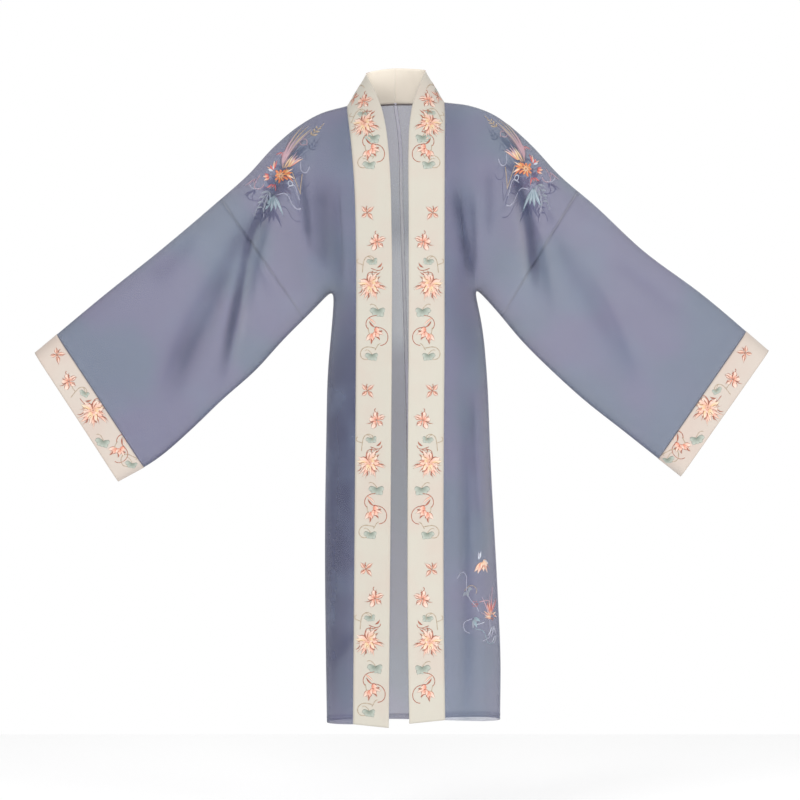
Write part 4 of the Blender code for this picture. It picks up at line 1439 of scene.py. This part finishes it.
@dataclass
class Needlework:
    """Collects stitched shapes on one patch and makes them one mesh."""

    name: str
    patch: Patch
    surface: float
    rings: int = 9
    sides: int = 8
    rise: float = 0.00045
    thin_rise: float = 0.6
    layer: float = 0.00022
    anchors: list[tuple[float, float]] = field(default_factory=list)
    turns: list[float] = field(default_factory=list)
    flips: list[float] = field(default_factory=list)
    strands: list[Strand] = field(default_factory=list)

    def sew(self, motif: Motif, anchor: tuple[float, float], turn: float = 0.0,
            flip: float = 1.0) -> None:
        """Adds a motif at a row and column of the patch, turned by degrees and perhaps mirrored."""
        for strand in motif:
            self.anchors.append(anchor)
            self.turns.append(math.radians(turn))
            self.flips.append(flip)
            self.strands.append(strand)

    def make(self, material: Material) -> Piece:
        """Makes the mesh.

        A strand's middle line is base (1-t)^2 + 2 bend t (1-t) + tip t^2. Round it runs a flat
        ellipse: half width times the profile sideways, a low rise upwards, which is `thin_rise` of
        the half width on a thin strand. Both ends are points.

        Args:
            material: Finish of the floss.

        Returns:
            The new object.
        """
        t = np.linspace(0, 1, self.rings)
        angle = np.linspace(0, 2 * math.pi, self.sides, endpoint=False)
        base, bend, tip = (np.array([getattr(s, k) for s in self.strands])[:, None]
                           for k in ("base", "bend", "tip"))
        wide = np.array([s.half_width for s in self.strands])[:, None]
        share = np.stack([s.outline.profile(t) for s in self.strands])
        u = t[None, :, None]
        middle = base * (1 - u) ** 2 + 2 * bend * u * (1 - u) + tip * u ** 2
        way = unit(2 * (1 - u) * (bend - base) + 2 * u * (tip - bend))
        aside = np.stack([-way[..., 1], way[..., 0]], axis=2)
        width = (wide * share)[..., None]
        flat = middle[:, :, None] + aside[:, :, None] * (width * np.cos(angle))[..., None]
        rise = np.minimum(self.rise, wide * self.thin_rise)[..., None] * np.sqrt(share)[..., None]
        level = np.array([s.level for s in self.strands])[:, None, None]
        height = rise * np.sin(angle) + self.surface + level * self.layer
        local = np.concatenate([flat, height[..., None]], axis=3)
        count = len(self.strands)
        world = self.patch.sewn_on(np.array(self.anchors, float), np.array(self.turns),
                                   np.array(self.flips), local.reshape(count, -1, 3))
        return self.mesh_of(world.reshape(count, self.rings, self.sides, 3), t, angle, material)

    def mesh_of(self, world: Array, t: Array, angle: Array,
                material: Material) -> Piece:
        """Joins all the strands' rings into closed beads with their colours and petal map.

        Args:
            world: Points [strand, ring, side, 3].
            t: Place of each ring.
            angle: Place of each side.
            material: Finish.

        Returns:
            The new object.
        """
        count, rings, sides = world.shape[:3]
        each = (rings - 2) * sides + 2
        inner = world[:, 1:-1].reshape(count, -1, 3)
        ends = world[:, [0, -1]].mean(2)
        points = np.concatenate([inner, ends], axis=1).reshape(-1, 3)
        ring = np.arange((rings - 2) * sides).reshape(rings - 2, sides)
        turned = np.roll(ring, -1, axis=1)
        quads = np.stack([ring[:-1], turned[:-1], turned[1:], ring[1:]], axis=2).reshape(-1, 4)
        first, last = each - 2, each - 1
        caps = np.concatenate([
            np.stack([turned[0], ring[0], np.full(sides, first)], axis=1),
            np.stack([ring[-1], turned[-1], np.full(sides, last)], axis=1),
        ])
        shift = (np.arange(count) * each)[:, None, None]
        flipped = (np.array(self.flips) < 0)[:, None, None]
        all_quads = np.where(flipped, quads[None, :, ::-1], quads[None]) + shift
        all_caps = np.where(flipped, caps[None, :, ::-1], caps[None]) + shift
        mesh = bpy.data.meshes.new(self.name)
        mesh.from_pydata(points.tolist(), [], all_quads.reshape(-1, 4).tolist()
                         + all_caps.reshape(-1, 3).tolist())
        place = np.concatenate([
            np.stack(np.meshgrid(t[1:-1], 0.5 + np.cos(angle) / 2, indexing="ij"), 2).reshape(-1, 2),
            [[0.0, 0.5], [1.0, 0.5]],
        ])
        place = np.tile(place, (count, 1)).astype(np.float32)
        corner = np.empty(len(mesh.loops), np.int32)
        mesh.loops.foreach_get("vertex_index", corner)
        mesh.uv_layers.new(name="petal").data.foreach_set("uv", place[corner].ravel())
        for part in DYE_PARTS:
            dyes = np.array([(*linear(getattr(s.floss.value, part)), 1.0) for s in self.strands])
            layer = mesh.color_attributes.new(part, "FLOAT_COLOR", "POINT")
            layer.data.foreach_set("color", np.repeat(dyes, each, axis=0).astype(np.float32).ravel())
        mesh.shade_smooth()
        mesh.materials.append(material)
        return placed(self.name, mesh)


@dataclass
class StitchLine:
    """Even run of stitches along rows or columns of a patch."""

    pitch: float = 0.0045
    length: float = 0.0029
    half_width: float = 0.00035
    floss: Floss = Floss.STITCH

    def sew(self, work: Needlework, rows: Array, columns: Array) -> None:
        """Sews stitches along a line of rows and columns, each turned to the line there.

        Args:
            work: Needlework that takes them.
            rows: Rows along the line.
            columns: Columns along the line.
        """
        patch = work.patch
        far = length_along(grid_at(patch.points, rows, columns))
        at = np.arange(self.pitch, far[-1] - self.pitch, self.pitch)
        at_rows, at_columns = np.interp(at, far, rows), np.interp(at, far, columns)
        ahead_rows = np.interp(at + self.length, far, rows)
        ahead_columns = np.interp(at + self.length, far, columns)
        here = grid_at(patch.points, at_rows, at_columns)
        way = grid_at(patch.points, ahead_rows, ahead_columns) - here
        right, up = upright(grid_at(patch.normals, at_rows, at_columns))
        turn = np.degrees(np.arctan2((way * up).sum(1), (way * right).sum(1)))
        reach = self.length / 2
        one = [Strand((-reach, 0.0), (0.0, 0.0), (reach, 0.0), self.half_width, Outline.STEM,
                      self.floss)]
        for row, column, angle in zip(at_rows, at_columns, turn):
            work.sew(one, (float(row), float(column)), float(angle))


def stitched(name: str, patch: Patch, surface: float, floss: Floss,
             lines: list[tuple[Array, Array]], finish: Material) -> Piece:
    """Piece of even stitches along lines of a patch.

    Args:
        name: Piece's name.
        patch: Cloth that they lie on.
        surface: Height of the cloth's surface over the patch.
        floss: Thread.
        lines: Rows and columns along each line.
        finish: Finish of the thread.

    Returns:
        The new object.
    """
    work = Needlework(name, patch, surface, rings=5, sides=6)
    for rows, columns in lines:
        StitchLine(floss=floss).sew(work, rows, columns)
    return work.make(finish)


@dataclass
class RobePart:
    """Cloth that stands for one node of a half, with what is sewn onto it."""

    half: RobeHalf
    finishes: Finishes
    KIND = ""

    @property
    def node(self) -> str:
        """Name of the frame's node, which the part's pieces are named after."""
        return self.named(self.KIND)

    def named(self, words: str) -> str:
        """Name of a piece of this half."""
        return f"{self.half.side.word}_{words}"

    def sewn(self, words: str, patch: Patch, wall: float, finish: Material) -> Piece:
        """Strip of cloth sewn to the part."""
        return dress(shell(words, patch, wall, finish), self.node)

    def cloth(self, patch: Patch, wall: float, finish: Material) -> Piece:
        """The part's cloth, which replaces the node."""
        return dress(shell(self.node + "_cloth", patch, wall, finish), self.node, self.node)

    def shown_area(self, patch: Patch, flat: tuple[float, float]) -> float:
        """Flat area of the cloth that shows, at most that of the rectangle it is cut from."""
        area = patch.area()
        LOG.info("%s area %.3f", self.node, area)
        return min(area * FLAT_SHARE, flat[0] * flat[1])


@dataclass
class BodyHalf(RobePart):
    """Front, back and upper sleeve of one half, with its hem, seam turnings and sprays."""

    step: float = 0.0062
    columns: int = 76
    wall: float = 0.0005
    flat: tuple[float, float] = (0.52, 2.46)
    turning_lift: float = -0.0006
    hem_depth: float = 0.013
    hem_step: float = 0.0022
    seam_depth: float = 0.0026
    seam_step: float = 0.0012
    felled_width: float = 0.0070
    felled_height: float = 0.0018
    felled_lift: float = 0.0011
    felled_columns: int = 10
    felled_edge: float = 0.8
    hem_stitches: tuple[float, float] = (0.0085, 0.0115)
    hem_samples: int = 400
    stitch_height: float = 0.0004
    spray_height: float = 0.0003
    patch: Patch = field(init=False)
    KIND = "body"

    def build(self) -> None:
        """Makes the cloth, its turnings, its stitches and its embroidery."""
        upper = self.half.even_ribs("join", "side_neck", self.step)
        lower = self.half.even_ribs("side_neck", "hem", self.step)
        self.patch = self.half.loop(np.concatenate([upper, lower[1:]]), self.columns)
        open_rows = len(upper)
        below_neck = self.patch.points[open_rows:]
        inset(self.patch.points, 0, 0, SEAM_GAP / 2)
        inset(below_neck, 1, 0, SEAM_GAP / 2)
        inset(below_neck, 1, -1, SEAM_GAP / 2)
        cloth = self.cloth(self.patch, self.wall, self.finishes.sheer)
        extras = self.turnings(open_rows) + [self.stitching(), self.spray()]
        if self.half.side is Side.LEFT:
            extras.append(self.centre_back_seam())
        self.shown_area(self.patch, self.flat)

    def turnings(self, open_rows: int) -> list[Piece]:
        """Doubled cloth inside the hem, at the centre back and at the sleeve's join."""
        join = self.half.even_ribs("join", "side_neck", self.seam_step)
        hem = self.half.even_ribs("waist", "hem", self.hem_step)
        join = join[:int(self.seam_depth / self.seam_step) + 1]
        hem = hem[-int(self.hem_depth / self.hem_step) - 1:]
        at_hem, at_join = (self.half.loop(numbers, self.columns).lifted(self.turning_lift)
                           for numbers in (hem, join))
        at_back = self.patch.lifted(self.turning_lift, slice(open_rows, None), slice(-3, None))
        strips = (("hem_turning", at_hem, self.finishes.turned),
                  ("centre_back_turning", at_back, self.finishes.turned),
                  ("join_turning", at_join, self.finishes.seam_turned))
        return [self.sewn(self.named(words), strip, self.wall * TURNING_WALL, finish)
                for words, strip, finish in strips]

    def centre_back_seam(self) -> Piece:
        """Felled seam of the two halves: a low half ellipse carried down inside the centre back, in
        near-white cloth that paints the highlight on its raised middle.
        """
        numbers = self.half.even_ribs("nape", "hem", self.step)
        line = self.half.top_edge(Face.BACK, numbers)
        u = np.linspace(-1, 1, self.felled_columns + 1)
        points = np.repeat(line[:, None], len(u), axis=1)
        points[..., 0] += self.felled_width / 2 * u
        points[..., 1] -= self.felled_lift + self.felled_height * np.sqrt(1 - u ** 2)
        edges = np.tile(self.felled_edge * u ** 8, (len(line), 1))
        patch = Patch(points, edges, np.zeros(len(line), bool))
        return self.sewn("centre_back_seam", patch, self.wall, self.finishes.felled)

    def stitching(self) -> Piece:
        """Two rows of stitches round the hem."""
        last = len(self.patch.points) - 1
        columns = np.linspace(0.5, self.patch.points.shape[1] - 1.5, self.hem_samples)
        lines = [(np.full(len(columns), last - height / self.step), columns)
                 for height in self.hem_stitches]
        return dress(stitched(self.named("stitching"), self.patch, self.stitch_height, Floss.STITCH,
                              lines, self.finishes.thread), self.node)

    def spray(self) -> Piece:
        """Embroidered spray on the shoulder, wrapped over the ridge, and the left one's hem spray."""
        sign = self.half.side.value
        work = Needlework(self.node + "_embroidery", self.patch, self.spray_height)
        out, up = SPRAY_PLACES[self.half.side]
        work.sew(shoulder_spray(), self.patch.seen_at(out * sign, up), flip=-sign)
        back = self.patch.seen_at(out * sign, up - SPRAY_DROP, Face.BACK)
        work.sew(shoulder_spray(), back, flip=sign)
        if self.half.side is Side.LEFT:
            work.sew(hem_spray(), self.patch.seen_at(*HEM_SPRAY_PLACE))
        return dress(work.make(self.finishes.thread), self.node)


@dataclass
class LowerSleeve(RobePart):
    """Tube between the body and the cuff."""

    step: float = 0.0065
    columns: int = 70
    wall: float = 0.0005
    flat: tuple[float, float] = (0.72, 0.56)
    turning_lift: float = -0.0006
    turning_step: float = 0.0012
    turning_ribs: int = 4
    KIND = "sleeve"

    def build(self) -> None:
        """Makes the sleeve and the turning of its seam to the body."""
        patch = self.half.loop(self.half.even_ribs("cuff_seam", "join", self.step), self.columns)
        inset(patch.points, 0, 0, SEAM_GAP / 2)
        inset(patch.points, 0, -1, SEAM_GAP / 2)
        cloth = self.cloth(patch, self.wall, self.finishes.sheer)
        end = self.half.even_ribs("cuff_seam", "join", self.turning_step)[-self.turning_ribs:]
        turning = self.half.loop(end, self.columns).lifted(self.turning_lift)
        seam = self.sewn(self.node + "_turning", turning, self.wall * TURNING_WALL,
                         self.finishes.seam_turned)
        self.named("body")
        self.shown_area(patch, self.flat)


@dataclass
class CreamPart(RobePart):
    """Band of lined cream cloth with a row of motifs and a line of stitches along each edge."""

    wall: float = 0.0016

    def embroider(self, work: Needlework) -> None:
        """Sews the motifs."""
        raise NotImplementedError

    def needlework(self, patch: Patch, lines: list[tuple[Array, Array]]) -> list[Piece]:
        """Makes the embroidery and the stitches.

        Args:
            patch: Middle of the cloth.
            lines: Rows and columns along each line of stitches.

        Returns:
            The two pieces.
        """
        work = Needlework(self.node + "_embroidery", patch, self.wall / 2)
        self.embroider(work)
        stitches = stitched(self.node + "_stitching", patch, self.wall / 2, Floss.CREAM_STITCH,
                            lines, self.finishes.thread)
        return [dress(work.make(self.finishes.thread), self.node), dress(stitches, self.node)]


@dataclass
class Cuff(CreamPart):
    """Cream band round the sleeve's mouth, embroidered all round."""

    step: float = 0.004
    columns: int = 90
    flat: tuple[float, float] = (0.64, 0.062)
    stitch_samples: int = 400
    lean: float = 32.0
    KIND = "cuff"

    def build(self) -> None:
        """Makes the cuff, its embroidery and its stitches."""
        numbers = self.half.even_ribs("cuff_edge", "cuff_seam", self.step)
        patch = self.half.loop(numbers, self.columns)
        inset(patch.points, 0, -1, SEAM_GAP / 2)
        cloth = self.cloth(patch, self.wall, self.finishes.cuff)
        columns = np.linspace(0.5, patch.points.shape[1] - 1.5, self.stitch_samples)
        lines = [(np.full(len(columns), row), columns) for row in (0.5, len(patch.points) - 1.6)]
        extras = self.needlework(patch, lines)
        self.named("sleeve")
        self.shown_area(patch, self.flat)

    def embroider(self, work: Needlework) -> None:
        """Sews the row of motifs down the front of the cuff and down its back."""
        points = work.patch.points
        sign = self.half.side.value
        middle = (len(points) - 1) / 2
        ring = points[int(middle)]
        far = length_along(ring)
        width = np.linalg.norm(points[-1] - points[0], axis=1).mean()
        lean = self.lean * sign
        for motif, down, offset, turn, size in CUFF_ROW:
            row = middle + offset / width * (len(points) - 1)
            front = float(np.interp(down, far, np.arange(len(ring))))
            back = float(np.interp(far[-1] - down, far, np.arange(len(ring))))
            work.sew(moved(motif(), 0, 0, turn, size), (row, front), lean, -sign)
            work.sew(moved(motif(), 0, 0, turn, size), (row, back), -lean, sign)


@dataclass
class CollarBand(CreamPart):
    """One half's collar band, from the nape over the shoulder and down the front to the hem."""

    step: float = 0.004
    flat: tuple[float, float] = (0.072, 1.40)
    columns: int = 20
    overlap: float = 0.0008
    neck_overlap: float = 0.0010
    neck_reach: float = 0.12
    turning_width: float = 0.0028
    turning_lift: float = 0.0011
    turning_wall: float = 0.0004
    turning_start: float = -0.2
    turning_columns: int = 6
    turning_gathered: float = 0.8
    stitch_samples: int = 1200
    stitch_inset: float = 0.9
    repeat: float = 0.352
    repeats: tuple[int, int] = (-2, 4)
    first_star: float = -0.214
    neck_start: float = 0.055
    neck_spacing: float = 0.60
    end_margin: float = 0.022
    front_plane: float = -0.05
    neck_rows: int = field(init=False, default=0)
    KIND = "band"

    def surface(self) -> Patch:
        """Grid of the band: its seam carried along, and from it a straight lean across.

        The lean's way is read from the table of leans at each place along the seam. The band is
        folded over the body's raw edge, so that its own edge lies a little past the seam.
        """
        neck = self.half.even_ribs("side_neck", "nape", self.step)
        front = self.half.even_ribs("side_neck", "hem", self.step)[1:]
        back_seam = self.half.top_edge(Face.BACK, neck)[::-1]
        front_seam = self.half.top_edge(Face.FRONT, front)
        seam = np.concatenate([back_seam, front_seam])
        self.neck_rows = len(back_seam)
        along = np.concatenate([-rib_values(RIBS, neck, 2)[::-1, 1], rib_values(RIBS, front, 1)[:, 0]])
        lean = curve_through([row[0] for row in BAND_LEAN], [row[1:] for row in BAND_LEAN], along)
        lean = unit(lean * (-self.half.side.value, -1, 1))
        across = np.linspace(0, self.flat[0], self.columns + 1)
        points = seam[:, None] + lean[:, None] * across[:, None]
        from_neck = np.minimum(np.abs(along), 1) / self.neck_reach
        near_neck = np.exp(-from_neck ** 2) + 0.5 * (along < 0)
        inset(points, 1, 0, -self.overlap - self.neck_overlap * near_neck)
        inset(points, 0, 0, SEAM_GAP / 2)
        return Patch(points, np.zeros(points.shape[:2]), np.zeros(len(points), bool))

    def build(self) -> None:
        """Makes the band, its embroidery, its stitches and the turning inside the neck seam."""
        patch = self.surface()
        cloth = self.cloth(patch, self.wall, self.finishes.cream)
        rows = np.linspace(0.5, len(patch.points) - 1.5, self.stitch_samples)
        lines = [(rows, np.full(len(rows), column)) for column in
                 (self.stitch_inset, self.columns - self.stitch_inset)]
        extras = self.needlework(patch, lines) + [self.neck_turning(patch)]
        self.named("body")

    def neck_turning(self, patch: Patch) -> Piece:
        """Narrow strip inside the neck: the band's seam edge carried straight on down the back."""
        edge, inner = patch.points[:self.neck_rows, 0], patch.points[:self.neck_rows, 1]
        down = np.linspace(self.turning_start, 1, self.turning_columns)[:, None] * self.turning_width
        points = edge[:, None] + unit(edge - inner)[:, None] * down
        points -= patch.normals[:self.neck_rows, :1] * self.turning_lift
        gathered_and_shade = np.full(points.shape[:2], self.turning_gathered)
        strip = Patch(points, gathered_and_shade, np.zeros(len(points), bool))
        return self.sewn(self.named("neck_turning"), strip, self.turning_wall,
                         self.finishes.neck_seam)

    def embroider(self, work: Needlework) -> None:
        """Sews the repeat up and down the front.

        Above the first star the motifs keep their order and lie closer together, up to the nape.
        """
        points = work.patch.points
        sign = self.half.side.value
        centre = points[:, points.shape[1] // 2]
        far = length_along(centre)
        in_front = centre[:, 1] < self.front_plane
        star = float(np.interp(-self.first_star, -centre[in_front, 2], far[in_front]))
        rows = np.arange(len(points))
        middle = (points.shape[1] - 1) / 2
        for turn in range(*self.repeats):
            for motif, down, offset in BAND_REPEAT:
                below = turn * self.repeat + down
                place = star + (below if below >= 0 else self.neck_spacing * below - self.neck_start)
                if not self.end_margin < place < far[-1] - self.end_margin:
                    continue
                row = float(np.interp(place, far, rows))
                column = middle + offset / self.flat[0] * (points.shape[1] - 1)
                work.sew(motif(), (row, column), 0.0, -sign)


# Columns: name, place, width and power of a square soft light.
LIGHTS = (
    ("key", (-2.4, -4.6, 1.4), 2.2, 78.0),
    ("fill", (3.4, -4.2, -0.2), 2.6, 86.0),
    ("front", (0.2, -6.2, 0.5), 1.6, 88.0),
    ("top", (0.3, 1.8, 3.2), 2.6, 45.0),
)


@dataclass
class Studio:
    """Plain pale floor, soft light and the camera straight in front of the robe."""

    EYE = (0.002, -8.0, -0.584)
    LENS = 180.0
    SENSOR = 36.0
    AIM = (0.0, 0.0, -0.5)
    clip_end: float = 50.0
    floor_height: float = -1.42
    floor_width: float = 4.0
    sky_light: float = 0.62

    def build(self) -> None:
        """Makes the camera, the floor, the lights and the sky."""
        self.camera()
        self.floor()
        for row in LIGHTS:
            self.light(*row)
        world = bpy.data.worlds.new("studio")
        bpy.context.scene.world = world
        world.use_nodes = True
        tree = world.node_tree
        sky = tree.nodes["Background"]
        rays = tree.nodes.new("ShaderNodeLightPath")
        level = tree.nodes.new("ShaderNodeMapRange")
        level.inputs["To Min"].default_value = self.sky_light
        tree.links.new(rays.outputs["Is Camera Ray"], level.inputs["Value"])
        tree.links.new(level.outputs[0], sky.inputs["Strength"])
        sky.inputs["Color"].default_value = (1.0, 1.0, 1.0, 1.0)
        bpy.context.scene.view_settings.view_transform = "Standard"

    def camera(self) -> None:
        """Long lens level with the middle of the robe."""
        lens = bpy.data.cameras.new("camera")
        lens.lens = self.LENS
        lens.sensor_width = self.SENSOR
        lens.clip_end = self.clip_end
        camera = placed("camera", lens)
        camera.location = self.EYE
        camera.rotation_euler = (math.pi / 2, 0.0, 0.0)
        bpy.context.scene.camera = camera

    def floor(self) -> None:
        """Square of floor under the robe."""
        half = self.floor_width / 2
        mesh = bpy.data.meshes.new("floor")
        corners = ((-half, -half), (half, -half), (half, half), (-half, half))
        mesh.from_pydata([(x, y, self.floor_height) for x, y in corners], [], [(0, 1, 2, 3)])
        mesh.materials.append(StudioFloor().material("studio_floor"))
        placed("floor", mesh)

    def light(self, name: str, place: tuple[float, float, float], size: float, power: float) -> None:
        """Square soft light that faces the robe's middle."""
        lamp = bpy.data.lights.new(name, "AREA")
        lamp.size = size
        lamp.energy = power
        light = placed(name, lamp)
        light.location = place
        way = Vector(self.AIM) - Vector(place)
        light.rotation_euler = way.to_track_quat("-Z", "Y").to_euler()


def main() -> None:
    """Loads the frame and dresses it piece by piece."""
    logging.basicConfig(level=logging.INFO, format="%(name)s: %(message)s")
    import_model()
    Studio().build()
    finishes = Finishes.make()
    for side in Side:
        half = RobeHalf(side)
        for part in (BodyHalf(half, finishes), LowerSleeve(half, finishes), Cuff(half, finishes),
                     CollarBand(half, finishes)):
            part.build()


if __name__ == "__main__":
    main()
